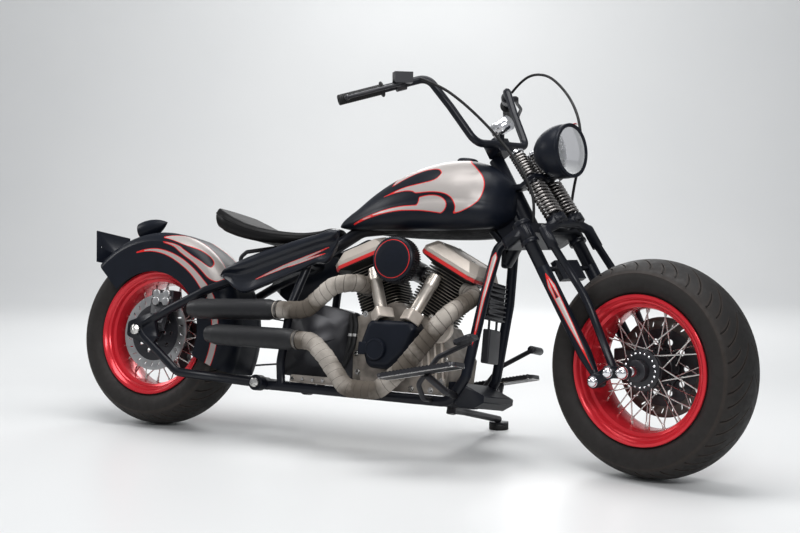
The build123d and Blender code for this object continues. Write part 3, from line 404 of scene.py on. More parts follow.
REFLECTOR = Finish("reflector", (0.86, 0.87, 0.88), 0.12, metallic=1.0, mottle=0.05, slot="chrome")
# Painted shade: near-black matt sheet under the tank's floor, dull so that it shows no reflection where the
# underside lies in shade.
UNDER_TANK_SHADE = Finish("painted_under_tank_shade", (0.004, 0.0042, 0.005), 0.85, specular=0.08, grain=0.1, slot="paint_black")


class Trees:
    """Geometry node trees that repeat a shape."""

    @staticmethod
    def _start(name: str, sockets: dict[str, str]) -> tuple[bpy.types.NodeTree, Graph, bpy.types.Node]:
        """New tree with a geometry output.

        Args:
            name: Name of the tree.
            sockets: Name to type of each input between the geometry and the material.

        Returns:
            The tree, its graph and its input node.
        """
        tree = bpy.data.node_groups.new(name, "GeometryNodeTree")
        for title, kind in {"Geometry": "Geometry", **sockets, "Material": "Material"}.items():
            tree.interface.new_socket(title, in_out="INPUT", socket_type="NodeSocket" + kind)
        tree.interface.new_socket("Geometry", in_out="OUTPUT", socket_type="NodeSocketGeometry")
        graph = Graph(tree)
        return tree, graph, graph.add("NodeGroupInput")

    @staticmethod
    def _end(graph: Graph, given: bpy.types.Node, made: bpy.types.NodeSocket) -> None:
        """Realize the copies, set their material and put them out.

        Args:
            graph: The tree's graph.
            given: Its input node.
            made: What is to come out.
        """
        real = graph.add("GeometryNodeRealizeInstances", {0: made})
        outfit = {"Geometry": real.outputs[0], "Material": given.outputs["Material"]}
        dressed = graph.add("GeometryNodeSetMaterial", outfit)
        graph.add("NodeGroupOutput", {0: dressed.outputs[0]})

    @classmethod
    @cache
    def turned(cls) -> bpy.types.NodeTree:
        """Copies turned about the Y axis.

        Returns:
            The tree, made once.
        """
        tree, graph, given = cls._start("turned_copies", {"Count": "Int", "Step": "Float"})
        points = graph.add("GeometryNodePoints", {"Count": given.outputs["Count"]})
        angle = graph.math("MULTIPLY", graph.add("GeometryNodeInputIndex").outputs[0], given.outputs["Step"])
        euler = graph.add("ShaderNodeCombineXYZ", {"Y": angle})
        turn = graph.add("FunctionNodeEulerToRotation", {0: euler.outputs[0]})
        copies = graph.add(
            "GeometryNodeInstanceOnPoints",
            {"Points": points.outputs[0], "Instance": given.outputs["Geometry"], "Rotation": turn.outputs[0]},
        )
        cls._end(graph, given, copies.outputs[0])
        return tree

    @classmethod
    @cache
    def rowed(cls) -> bpy.types.NodeTree:
        """Copies in a straight row.

        Returns:
            The tree, made once.
        """
        tree, graph, given = cls._start("rowed_copies", {"Count": "Int", "Offset": "Vector"})
        row = {name: given.outputs[name] for name in ("Count", "Offset")}
        line = graph.add("GeometryNodeMeshLine", row)
        copies = graph.add(
            "GeometryNodeInstanceOnPoints", {"Points": line.outputs[0], "Instance": given.outputs["Geometry"]}
        )
        cls._end(graph, given, copies.outputs[0])
        return tree

    @classmethod
    @cache
    def spring(cls) -> bpy.types.NodeTree:
        """Round wire wound into a spring along Z.

        Returns:
            The tree, made once.
        """
        sizes = dict.fromkeys(("Turns", "Radius", "Height", "Wire"), "Float")
        tree, graph, given = cls._start("wound_spring", sizes)
        radius = given.outputs["Radius"]
        helix = graph.add(
            "GeometryNodeCurveSpiral",
            {
                "Resolution": 30,
                "Rotations": given.outputs["Turns"],
                "Start Radius": radius,
                "End Radius": radius,
                "Height": given.outputs["Height"],
            },
        )
        section = {"Resolution": 10, "Radius": given.outputs["Wire"]}
        wire = graph.add("GeometryNodeCurvePrimitiveCircle", section)
        sweep = {"Curve": helix.outputs[0], "Profile Curve": wire.outputs[0], "Fill Caps": True}
        coil = graph.add("GeometryNodeCurveToMesh", sweep)
        cls._end(graph, given, coil.outputs[0])
        return tree

    @staticmethod
    def run(mesh: bpy.types.Mesh, tree: bpy.types.NodeTree, values: dict[str, object]) -> bpy.types.Mesh:
        """Plain mesh that a tree makes from another mesh.

        Args:
            mesh: What goes in.
            tree: The node tree.
            values: Input name to value.

        Returns:
            The evaluated mesh.
        """
        holder = bpy.data.objects.new("holder", mesh)
        bpy.context.scene.collection.objects.link(holder)
        modifier = holder.modifiers.new("copies", "NODES")
        modifier.node_group = tree
        for item in tree.interface.items_tree:
            if item.in_out == "INPUT" and item.name in values:
                modifier[item.identifier] = values[item.name]
        seen = holder.evaluated_get(bpy.context.evaluated_depsgraph_get())
        made = bpy.data.meshes.new_from_object(seen)
        bpy.data.objects.remove(holder)
        return made


def place(point: Point, direction: Point, spin: float = 0.0) -> Matrix:
    """Matrix that stands Z on a point along a direction.

    Args:
        point: Where the origin goes.
        direction: Where Z goes.
        spin: Turn about the direction, in degrees.

    Returns:
        The matrix.
    """
    turn = Vector(direction).to_track_quat("Z", "Y").to_matrix().to_4x4()
    return Matrix.Translation(Vector(point)) @ turn @ Matrix.Rotation(math.radians(spin), 4, "Z")


def arc(start: Point, middle: Point, end: Point, steps: int) -> list[Vector]:
    """Points on the circle through three points in a plane.

    Args:
        start: First point.
        middle: Point on the way.
        end: Last point.
        steps: Number of runs.

    Returns:
        The points, both ends included.
    """
    (ax, ay), (bx, by), (cx, cy) = start, middle, end
    scale = 2 * (ax * (by - cy) + bx * (cy - ay) + cx * (ay - by))
    if abs(scale) < 1e-6:
        return [Vector(start).lerp(Vector(end), i / steps) for i in range(steps + 1)]
    ux = ((ax**2 + ay**2) * (by - cy) + (bx**2 + by**2) * (cy - ay) + (cx**2 + cy**2) * (ay - by)) / scale
    uy = ((ax**2 + ay**2) * (cx - bx) + (bx**2 + by**2) * (ax - cx) + (cx**2 + cy**2) * (bx - ax)) / scale
    radius = math.hypot(ax - ux, ay - uy)
    angles = [math.atan2(y - uy, x - ux) for x, y in (start, middle, end)]
    way = (angles[2] - angles[0]) % TURN
    if (angles[1] - angles[0]) % TURN > way:
        way -= TURN
    turns = [angles[0] + way * i / steps for i in range(steps + 1)]
    return [Vector((ux + radius * math.cos(t), uy + radius * math.sin(t))) for t in turns]


def bent(points: Sequence[Point], bend: float, step: float = 6.0) -> list[Vector]:
    """Path of straight runs with round corners, in short steps.

    Args:
        points: Corners of the path.
        bend: Radius of the corners.
        step: Longest distance between two points.

    Returns:
        Points along the path.
    """
    corners = [Vector(p) for p in points]
    path = [corners[0]]
    for before, corner, after in zip(corners, corners[1:], corners[2:]):
        back = (before - corner).normalized()
        ahead = (after - corner).normalized()
        half = back.angle(ahead) / 2
        reach = min(bend / math.tan(half), 0.49 * (before - corner).length, 0.49 * (after - corner).length)
        radius = reach * math.tan(half)
        centre = corner + (back + ahead).normalized() * (radius / math.sin(half))
        start = corner + back * reach - centre
        end = corner + ahead * reach - centre
        count = max(2, int(start.angle(end) * radius / step))
        path += [centre + start.slerp(end, i / count).normalized() * radius for i in range(count + 1)]
    path.append(corners[-1])
    even = [path[0]]
    for a, b in zip(path, path[1:]):
        parts = max(1, int((b - a).length / step))
        even += [a.lerp(b, i / parts) for i in range(1, parts + 1)]
    return [p for i, p in enumerate(even) if i == 0 or (p - even[i - 1]).length > 1e-4]


def round_corners(points: Sequence[Point], radius: float) -> list[Vector]:
    """Closed outline with each corner rounded.

    Args:
        points: Corners of the outline.
        radius: Radius of the corners.

    Returns:
        Points of the outline.
    """
    flat = [Vector((*p, 0.0)) for p in points]
    outline: list[Vector] = []
    count = len(flat)
    for i, corner in enumerate(flat):
        before = (flat[i - 1] + corner) / 2
        after = (corner + flat[(i + 1) % count]) / 2
        outline += [p.to_2d() for p in bent((before, corner, after), radius, 3.0)[1:-1]]
    return outline


def oblong(half_x: float, half_y: float, radius: float) -> list[Vector]:
    """Rectangle about the origin with round corners."""
    return round_corners([(-half_x, -half_y), (half_x, -half_y), (half_x, half_y), (-half_x, half_y)], radius)


def around(steps: int) -> list[float]:
    """Even angles of one full turn."""
    return [TURN * i / steps for i in range(steps)]


def circle(radius: float, at: Point = (0.0, 0.0), steps: int = 64) -> list[Vector]:
    """Round outline."""
    return [Vector((at[0] + radius * math.cos(t), at[1] + radius * math.sin(t))) for t in around(steps)]


def puck(radius: float, height: float) -> list[Point]:
    """Profile of a flat round disc."""
    return [(0, 0), (radius, 0), (radius, height), (0, height)]


def drilled(radius: float, hole: float, count: int, steps: int) -> list[list[Vector]]:
    """Round holes spread evenly on a circle."""
    return [circle(hole, (radius * math.cos(t), radius * math.sin(t)), steps) for t in around(count)]


def smooth_loop(points: Sequence[Point], steps: int = 8) -> np.ndarray:
    """Closed curve through given points, where a doubled point is a corner.

    Args:
        points: Points of the outline.
        steps: Runs between two points.

    Returns:
        Array of points.
    """
    loop = [np.array(p, float) for p in points]
    count = len(loop)
    made = []
    for i in range(count):
        a, b, c, d = loop[i - 1], loop[i], loop[(i + 1) % count], loop[(i + 2) % count]
        if np.allclose(b, c):
            continue
        a = b if np.allclose(a, b) else a
        d = c if np.allclose(c, d) else d
        for k in range(steps):
            t = k / steps
            bend = (2 * a - 5 * b + 4 * c - d) * t**2
            made.append(0.5 * (2 * b + (c - a) * t + bend + (3 * b - a - 3 * c + d) * t**3))
    return np.array(made)


def distance_to(loop: np.ndarray, points: np.ndarray) -> np.ndarray:
    """Signed distance of points to a closed outline, negative inside.

    Args:
        loop: Corners of the outline.
        points: Points to measure.

    Returns:
        One distance for each point.
    """
    best = np.full(len(points), 1e9)
    inside = np.zeros(len(points), bool)
    for a, b in zip(loop, np.roll(loop, -1, axis=0)):
        run = b - a
        share = np.clip(((points - a) @ run) / max(run @ run, 1e-9), 0, 1)
        best = np.minimum(best, np.linalg.norm(points - a - share[:, None] * run, axis=1))
        cuts = (a[1] > points[:, 1]) != (b[1] > points[:, 1])
        height = b[1] - a[1]
        where = a[0] + (points[:, 1] - a[1]) * run[0] / (height if abs(height) > 1e-9 else 1e-9)
        inside ^= cuts & (points[:, 0] < where)
    return np.where(inside, -best, best)


class Shape:
    """Mesh under construction, in millimetres."""

    def __init__(self) -> None:
        """Start empty, with a UV map for what follows a path."""
        self.bm = bmesh.new()
        self.uv = self.bm.loops.layers.uv.new("path")

    def rings(
        self, rings: Sequence[Sequence[Point]], closed: bool = False, lengths: Sequence[float] | None = None
    ) -> Shape:
        """Skin a row of rings with equal numbers of points, and close its ends.

        Args:
            rings: The rings in order.
            closed: Join the last ring to the first instead.
            lengths: Distance of each ring along the path.

        Returns:
            This shape.
        """
        rows = [[self.bm.verts.new(Vector(p)) for p in ring] for ring in rings]
        count = len(rows[0])
        last = len(rows) if closed else len(rows) - 1
        for row in range(last):
            low, high = rows[row], rows[(row + 1) % len(rows)]
            for i in range(count):
                j = (i + 1) % count
                face = self.bm.faces.new((low[i], low[j], high[j], high[i]))
                if lengths:
                    spots = ((row, i), (row, i + 1), (row + 1, i + 1), (row + 1, i))
                    for loop, (along, about) in zip(face.loops, spots):
                        loop[self.uv].uv = (lengths[along] * MM, about / count)
        if not closed:
            self.bm.faces.new(rows[0][::-1])
            self.bm.faces.new(rows[-1])
        return self

    def lathe(self, profile: Sequence[Point], where: Matrix, steps: int = 72, closed: bool = False) -> Shape:
        """Turn (radius, height) points about an axis.

        Args:
            profile: The points.
            where: Stands Z on the axis.
            steps: Points round.
            closed: The profile is a loop.

        Returns:
            This shape.
        """
        turns = around(steps)
        rings = [[where @ Vector((r * math.cos(t), r * math.sin(t), h)) for t in turns] for r, h in profile]
        return self.rings(rings, closed)

    def pipe(self, path: Sequence[Point], radius: Radius, steps: int = 18) -> Shape:
        """Round bar along a path.

        Args:
            path: Points along the middle.
            radius: Radius, or a function of distance along and angle round.
            steps: Points round.

        Returns:
            This shape.
        """
        spots = [Vector(p) for p in path]
        ways = [(b - a).normalized() for a, b in zip(spots, spots[1:])]
        ways = [ways[0]] + [(a + b).normalized() for a, b in zip(ways, ways[1:])] + [ways[-1]]
        side = ways[0].orthogonal().normalized()
        rings, lengths, far = [], [], 0.0
        for i, (spot, way) in enumerate(zip(spots, ways)):
            far += (spot - spots[i - 1]).length if i else 0.0
            side = (side - way * side.dot(way)).normalized()
            up = way.cross(side)
            ring = []
            for turn in around(steps):
                size = radius(far, turn) if callable(radius) else radius
                ring.append(spot + side * (size * math.cos(turn)) + up * (size * math.sin(turn)))
            rings.append(ring)
            lengths.append(far)
        return self.rings(rings, lengths=lengths)

    def ball(self, at: Point, radius: float, steps: int = 32) -> Shape:
        """Round ball.

        Args:
            at: Its centre.
            radius: Its radius.
            steps: Points round.

        Returns:
            This shape.
        """
        half = steps // 2
        turns = [math.pi * i / half for i in range(half + 1)]
        arcs = [(radius * math.sin(t), -radius * math.cos(t)) for t in turns]
        return self.lathe(arcs, Matrix.Translation(Vector(at)), steps)

    def plate(
        self, outlines: Sequence[Sequence[Point]], thick: float, where: Matrix, edge: float = 1.0
    ) -> Shape:
        """Plate with rounded edges; outlines after the first are holes.

        Args:
            outlines: Closed outlines in the plate's plane.
            thick: Thickness, centred on the plane.
            where: Stands Z on the plate's normal.
            edge: Radius of the edges.

        Returns:
            This shape.
        """
        curve = bpy.data.curves.new("plate", "CURVE")
        curve.dimensions = "2D"
        curve.fill_mode = "BOTH"
        curve.extrude = thick / 2 - edge
        curve.bevel_depth = edge
        curve.bevel_resolution = 2
        curve.offset = -edge
        for outline in outlines:
            spline = curve.splines.new("POLY")
            spline.points.add(len(outline) - 1)
            for point, (x, y) in zip(spline.points, outline):
                point.co = (x, y, 0.0, 1.0)
            spline.use_cyclic_u = True
        holder = bpy.data.objects.new("plate", curve)
        bpy.context.scene.collection.objects.link(holder)
        mesh = bpy.data.meshes.new_from_object(holder.evaluated_get(bpy.context.evaluated_depsgraph_get()))
        bpy.data.objects.remove(holder)
        bpy.data.curves.remove(curve)
        mesh.transform(where)
        return self.take(mesh)

    def cushion(self, outline: Sequence[Point], low: float, high: float, soft: float, where: Matrix) -> Shape:
        """Solid on an outline with a soft round edge on top.

        Args:
            outline: Closed outline in the XY plane.
            low: Height of the base.
            high: Height of the top.
            soft: Radius of the edge.
            where: Places the solid.

        Returns:
            This shape.
        """
        spots = [Vector((x, y)) for x, y in outline]
        middle = sum(spots, Vector((0, 0))) / len(spots)
        levels = [(0.0, low)]
        for k in range(11):
            turn = math.pi / 2 * k / 10
            levels.append((soft * (1 - math.cos(turn)), high - soft + soft * math.sin(turn)))
        rings = []
        for inset, height in levels:
            ring = [p - (p - middle).normalized() * inset for p in spots]
            rings.append([where @ Vector((p.x, p.y, height)) for p in ring])
        return self.rings(rings)

    def take(self, mesh: bpy.types.Mesh) -> Shape:
        """Add a mesh and delete it.

        Args:
            mesh: The mesh to add.

        Returns:
            This shape.
        """
        self.bm.from_mesh(mesh)
        bpy.data.meshes.remove(mesh)
        return self

    def mesh(self, name: str = "shape") -> bpy.types.Mesh:
        """Merge doubles, turn the faces outwards and end the construction.

        Args:
            name: Name of the mesh.

        Returns:
            The mesh.
        """
        bmesh.ops.remove_doubles(self.bm, verts=self.bm.verts, dist=0.01)
        bmesh.ops.dissolve_degenerate(self.bm, edges=self.bm.edges, dist=0.001)
        bmesh.ops.recalc_face_normals(self.bm, faces=self.bm.faces)
        made = bpy.data.meshes.new(name)
        self.bm.to_mesh(made)
        self.bm.free()
        return made

    def both_sides(self) -> Shape:
        """Add the mirror image on the other side of the machine.

        Returns:
            This shape.
        """
        whole = self.bm.verts[:] + self.bm.edges[:] + self.bm.faces[:]
        found = bmesh.ops.duplicate(self.bm, geom=whole)["geom"]
        copies = [v for v in found if isinstance(v, bmesh.types.BMVert)]
        bmesh.ops.scale(self.bm, vec=(1, -1, 1), verts=copies)
        return self

    def repeated(self, tree: bpy.types.NodeTree, values: dict[str, object]) -> Shape:
        """Shape that a repeating tree makes from this one."""
        return Shape().take(Trees.run(self.mesh(), tree, values))

    def turned(self, count: int) -> Shape:
        """Even copies about the Y axis."""
        return self.repeated(Trees.turned(), {"Count": count, "Step": TURN / count})


@dataclass
class Workshop:
    """Turns shapes into finished pieces on the machine."""

    machine: Machine

    def fit(
        self,
        shape: Shape,
        name: str,
        axes: Axes,
        finish: Finish,
        body: Body,
        nodes: Sequence[str] = (),
        crease: float = CREASE,
    ) -> bpy.types.Object:
        """Make a piece and let it ride on its body.

        Args:
            shape: The finished shape.
            name: Name of the piece.
            axes: Axes that the shape was drawn on.
            finish: Its surface.
            body: The body that it rides on.
            nodes: Solids that it stands for.
            crease: Edges sharper than this angle stay sharp, in degrees.

        Returns:
            The piece.
        """
        mesh = shape.mesh(name)
        mesh.transform(axes.matrix())
        return self.dress(mesh, name, finish, body, nodes, crease)

    def dress(
        self, mesh: bpy.types.Mesh, name: str, finish: Finish, body: Body, nodes: Sequence[str], crease: float
    ) -> bpy.types.Object:
        """Shade a mesh in place and let it ride on its body.

        Args:
            mesh: Mesh in the ground frame.
            name: Name of the piece.
            finish: Its surface.
            body: The body that it rides on.
            nodes: Solids that it stands for.
            crease: Edges sharper than this angle stay sharp, in degrees.

        Returns:
            The piece.
        """
        mesh.materials.clear()
        mesh.materials.append(finish.material())
        mesh.shade_smooth()
        mesh.set_sharp_from_angle(angle=math.radians(crease))
        piece = bpy.data.objects.new(name, mesh)
        bpy.context.scene.collection.objects.link(piece)
        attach(piece, body.value)
        if nodes:
            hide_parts(*nodes)
        LOG.info("%s: %d faces on %s", name, len(mesh.polygons), body.value)
        return piece

    def skin(self, node: str, finish: Finish, body: Body, crease: float = 30.0) -> bpy.types.Object:
        """Smoothly shaded copy of a solid.

        Args:
            node: The solid.
            finish: Its surface.
            body: The body that it rides on.
            crease: Edges sharper than this angle stay sharp, in degrees.

        Returns:
            The piece.
        """
        mesh = self.machine.nodes[node].data.copy()
        bm = bmesh.new()
        bm.from_mesh(mesh)
        bmesh.ops.remove_doubles(bm, verts=bm.verts, dist=2e-6)
        bm.to_mesh(mesh)
        bm.free()
        return self.dress(mesh, node + "_skin", finish, body, (node,), crease)

    @staticmethod
    def mark(piece: bpy.types.Object, name: str, values: np.ndarray) -> None:
        """Store one number for each vertex."""
        layer = piece.data.attributes.new(name, "FLOAT", "POINT")
        layer.data.foreach_set("value", values.astype(np.float32))

    @staticmethod
    def spots(piece: bpy.types.Object, axes: Axes) -> np.ndarray:
        """Vertices on a set of axes, in millimetres.

        Args:
            piece: The piece to read.
            axes: Axes to give them on.

        Returns:
            One row for each vertex.
        """
        world = np.empty(len(piece.data.vertices) * 3, np.float32)
        piece.data.vertices.foreach_get("co", world)
        back = np.array(axes.matrix().inverted())
        return world.reshape(-1, 3).astype(float) @ back[:3, :3].T + back[:3, 3]


def ramp(value: float, low: float, high: float) -> float:
    """Smooth rise from 0 to 1."""
    share = min(1.0, max(0.0, (value - low) / (high - low)))
    return share * share * (3 - 2 * share)


AHEAD = place((0, 0, 0), (1, 0, 0))
WHEEL_AXIS = place((0, 0, 0), (0, 1, 0))
RIGHT_SIDE = Matrix(((1, 0, 0, 0), (0, 0, -1, 0), (0, 1, 0, 0), (0, 0, 0, 1)))
LEFT_SIDE = Matrix(((1, 0, 0, 0), (0, 0, 1, 0), (0, -1, 0, 0), (0, 0, 0, 1)))


@dataclass
class Group:
    """Sub-assembly whose pieces share a set of axes and a body."""

    shop: Workshop
    body: Body = Body.CHASSIS

    @property
    def axes(self) -> Axes:
        """Axes that the pieces are drawn on."""
        return self.shop.machine.chassis

    def fit(
        self, shape: Shape, name: str, finish: Finish, nodes: Sequence[str] = (), crease: float = CREASE
    ) -> bpy.types.Object:
        """Make a piece on the group's axes and body, as Workshop.fit does."""
        return self.shop.fit(shape, name, self.axes, finish, self.body, nodes, crease)


@dataclass
class Wheel(Group):
    """Tyre, stepped rim, wire spokes and drilled hub."""

    name: str = "front"
    tyre_r: float = 323.0
    bulge_r: float = 262.0
    shoulder_r: float = 292.0
    shoulder_y: float = 91.0
    tyre_half: float = 100.0
    rim_r: float = 221.5
    rim_half: float = 84.0
    bead_y: float = 74.0
    bead_r: float = 207.0
    well_r: float = 178.0
    flange_r: float = 62.0
    flange_y: float = 50.0
    pitches: int = 22
    groove: float = 4.5
    sweep: float = 0.34
    spokes: int = 20
    twist: float = 34.0
    spoke_r: float = 2.2
    lace_r: float = 55.0

    @property
    def axes(self) -> Axes:
        """Axes about the wheel's own axle."""
        machine = self.shop.machine
        return machine.front if self.body is Body.FRONT else machine.rear

    def fit(
        self, shape: Shape, name: str, finish: Finish, nodes: Sequence[str] = (), crease: float = CREASE
    ) -> bpy.types.Object:
        """Make a piece that is named after the wheel, as its nodes are."""
        named = [f"{self.name}_{node}" for node in nodes]
        return super().fit(shape, f"{self.name}_{name}", finish, named, crease)

    def build(self, left_face: float, right_face: float) -> None:
        """Make every piece of the wheel.

        Args:
            left_face: Where the hub ends on the left.
            right_face: Where it ends on the right.
        """
        self.tyre()
        self.rim()
        self.wires()
        self.hub(left_face, right_face)

    def _rows(self) -> list[tuple[float, float, float, float, float, float]]:
        """Section of the tyre.

        Returns:
            Rows of radius, side, sweep, long groove, short groove and wear.
        """
        drop = self.tyre_r - self.shoulder_r
        crown_r = (self.shoulder_y**2 + drop**2) / (2 * drop)
        bead = (self.rim_r + 2, self.bead_y)
        wall = arc((self.shoulder_r, self.shoulder_y), (self.bulge_r, self.tyre_half), bead, 16)
        half = []
        for i, (r, y) in enumerate(wall[1:]):
            ridge = 1.3 if i in (1, 13) else 0.0
            half.append((r, y + ridge, 0.0, 0.0, 0.0, 0.8 if i in (0, 1) else 0.25))
        for r, y in ((self.bead_r + 7, self.bead_y), (self.bead_r, self.bead_y - 4)):
            half.append((r, y, 0.0, 0.0, 0.0, 0.0))
        crown, steps = [], 26
        for i in range(-steps, steps + 1):
            y = self.shoulder_y * i / steps
            side = abs(y)
            r = self.tyre_r - crown_r + math.sqrt(crown_r**2 - y**2)
            long = ramp(side, 6, 12) * (1 - ramp(side, 78, 84))
            short = ramp(side, 42, 50) * (1 - ramp(side, 85, 90))
            sweep = self.sweep * (1 - side / self.shoulder_y) ** 1.6
            crown.append((r, y, sweep, long, short, 0.1 + 0.3 * ramp(side, 60, 91)))
        mirror = [(r, -y, *rest) for r, y, *rest in half]
        return mirror[::-1] + crown + half

    def tyre(self) -> None:
        """Fat tyre with swept grooves."""
        pitch = TURN / self.pitches
        inner = self.groove / self.tyre_r / pitch / 2
        outer = inner * 1.35
        columns = [-outer, -inner, inner, outer, 0.12, 0.21, 0.30, 0.39]
        lanes = len(columns)
        columns += [c + 0.5 for c in columns]
        cuts = [0, 1, 1, 0, 0, 0, 0, 0]
        rings, worn = [], []
        for r, y, sweep, long, short, wear in self._rows():
            ring = []
            for p in range(self.pitches):
                for k, column in enumerate(columns):
                    turn = (p + column) * pitch + sweep
                    deep = long if k < lanes else short
                    size = r - self.groove * cuts[k % lanes] * deep
                    ring.append((size * math.cos(turn), y, size * math.sin(turn)))
                    worn.append(max(wear, 0.9 * deep * (k % lanes in (0, 3))))
            rings.append(ring)
        shape = Shape().rings(rings, closed=True)
        piece = self.fit(shape, "tread", RUBBER, ["tyre"], 32.0)
        self.shop.mark(piece, "worn", np.array(worn))

    def rim(self) -> None:
        """Red rim with two steps, soft at the edges."""
        edge = self.rim_half
        step = [(-9, 0), (-13, 3), (-18, 10), (-22, 11), (-25, 14), (-29, 26), (-33, 28), (-38, 30)]
        half = [(self.rim_r, self.bead_y + 4), (self.rim_r, edge - 1.5), (self.rim_r - 1.5, edge)]
        half += [(self.rim_r + r, edge - y) for r, y in step]
        half += [(self.well_r + 1, edge - 50), (self.well_r, edge - 54)]
        bed = [(self.bead_r - 0.5, self.bead_y - 3), (self.rim_r - 8, self.bead_y + 1.5)]
        under = [(r, -y) for r, y in half]
        profile = bed + half + under[::-1] + [(r, -y) for r, y in bed][::-1]
        shape = Shape().lathe(profile, WHEEL_AXIS, 144, closed=True)
        self.fit(shape, "rim_red", RIM_RED, ["rim"], 24.0)

    def wires(self) -> None:
        """Crossed spokes with nipples."""
        per_lace, rim = self.spokes // 2, self.well_r + 3
        nipple = [(0, 0), (2.6, 0), (3.4, 3), (3.6, 16), (0, 16)]
        made = Shape()
        for side in (-1, 1):
            for lace in (-1, 1):
                first = 0 if lace < 0 else 1
                turn = TURN / self.spokes * (first + (0.5 if side > 0 else 0))
                foot = turn + lace * math.radians(self.twist)
                y = side * (self.flange_y + lace * 3.5)
                start = Vector((self.lace_r * math.cos(foot), y, self.lace_r * math.sin(foot)))
                end = Vector((rim * math.cos(turn), side * 16, rim * math.sin(turn)))
                way = (end - start).normalized()
                wire = Shape().pipe([start, end - way * 10], self.spoke_r, 8)
                wire.lathe(nipple, place(end - way * 17, way), 10)
                wire.ball(start, 3.6, 8)
                made.take(wire.turned(per_lace).mesh())
        self.fit(made, "wires", STEEL, ["spokes"])

    def hub(self, left_face: float, right_face: float) -> None:
        """Black hub with drilled flanges.

        Args:
            left_face: Where the hub ends on the left.
            right_face: Where it ends on the right.
        """
        shape = Shape()
        ends = self.flange_y + 4
        inner = [(36, self.flange_y - 4), (46, ends), (44, ends + 4), (32, ends + 12)]
        right, left = (inner + [(32, face - 3), (28, face), (12, face)] for face in (right_face, left_face))
        profile = [(r, -y) for r, y in right[::-1]] + [(34, 0)] + left
        shape.lathe(profile, WHEEL_AXIS, 64, closed=True)
        holes = drilled(54, 3.0, 20, 10)
        for side in (-1, 1):
            seat = place((0, side * self.flange_y, 0), (0, 1, 0))
            shape.plate([circle(self.flange_r), circle(40), *holes], 7, seat, 1.2)
        self.fit(shape, "hub", ENGINE_BLACK)

    def hub_cap(self) -> None:
        """Round cap with a ring of bright studs on the right."""
        cap = [(33, 57), (58, 57), (60.5, 59.5), (60.5, 62), (54, 66), (40, 70), (33, 71)]
        right = place((0, 0, 0), TO_RIGHT)
        self.fit(Shape().lathe(cap, right, 72, True), "hub_cap", ENGINE_BLACK)
        dome = [(0, 0), (3.4, 0), (3.4, 2.5), (2.2, 3.6), (0, 3.6)]
        stud = Shape().lathe(dome, place((50, -67, 0), TO_RIGHT), 12)
        self.fit(stud.turned(20), "hub_studs", CHROME)

    def disc(self, radius: float, y: float, finish: Finish) -> None:
        """Slotted brake disc with its bolts.

        Args:
            radius: Outer radius.
            y: Side position.
            finish: Surface of the disc.
        """
        slots = []
        for turn in around(24):
            spot = Matrix.Rotation(turn, 2) @ Vector((radius - 20, 0))
            lean = Matrix.Rotation(turn + 0.5, 2)
            slots.append([spot + lean @ Vector((p.x * 3.6, p.y)) for p in circle(2.6, steps=12)])
        seat = place((0, y, 0), (0, 1, 0))
        ring = Shape().plate([circle(radius, steps=96), circle(radius - 36, steps=72), *slots], 5, seat, 0.5)
        self.fit(ring, "rotor", finish, ["disc"])
        inner = radius - 34
        holes = drilled(inner * 0.68, inner * 0.08, 10, 24)
        spider = Shape().plate([circle(inner, steps=72), circle(32.6, steps=48), *holes], 6.4, seat, 0.8)
        self.fit(spider, "spider", ENGINE_BLACK, ["disc"])
        head = place((44, y + math.copysign(2.6, y), 0), (0, y, 0))
        bolt = Shape().lathe([(0, 0), (6.5, 0), (6.5, 3), (5, 5), (0, 5)], head, 6)
        self.fit(bolt.turned(5), "rotor_bolts", CHROME)


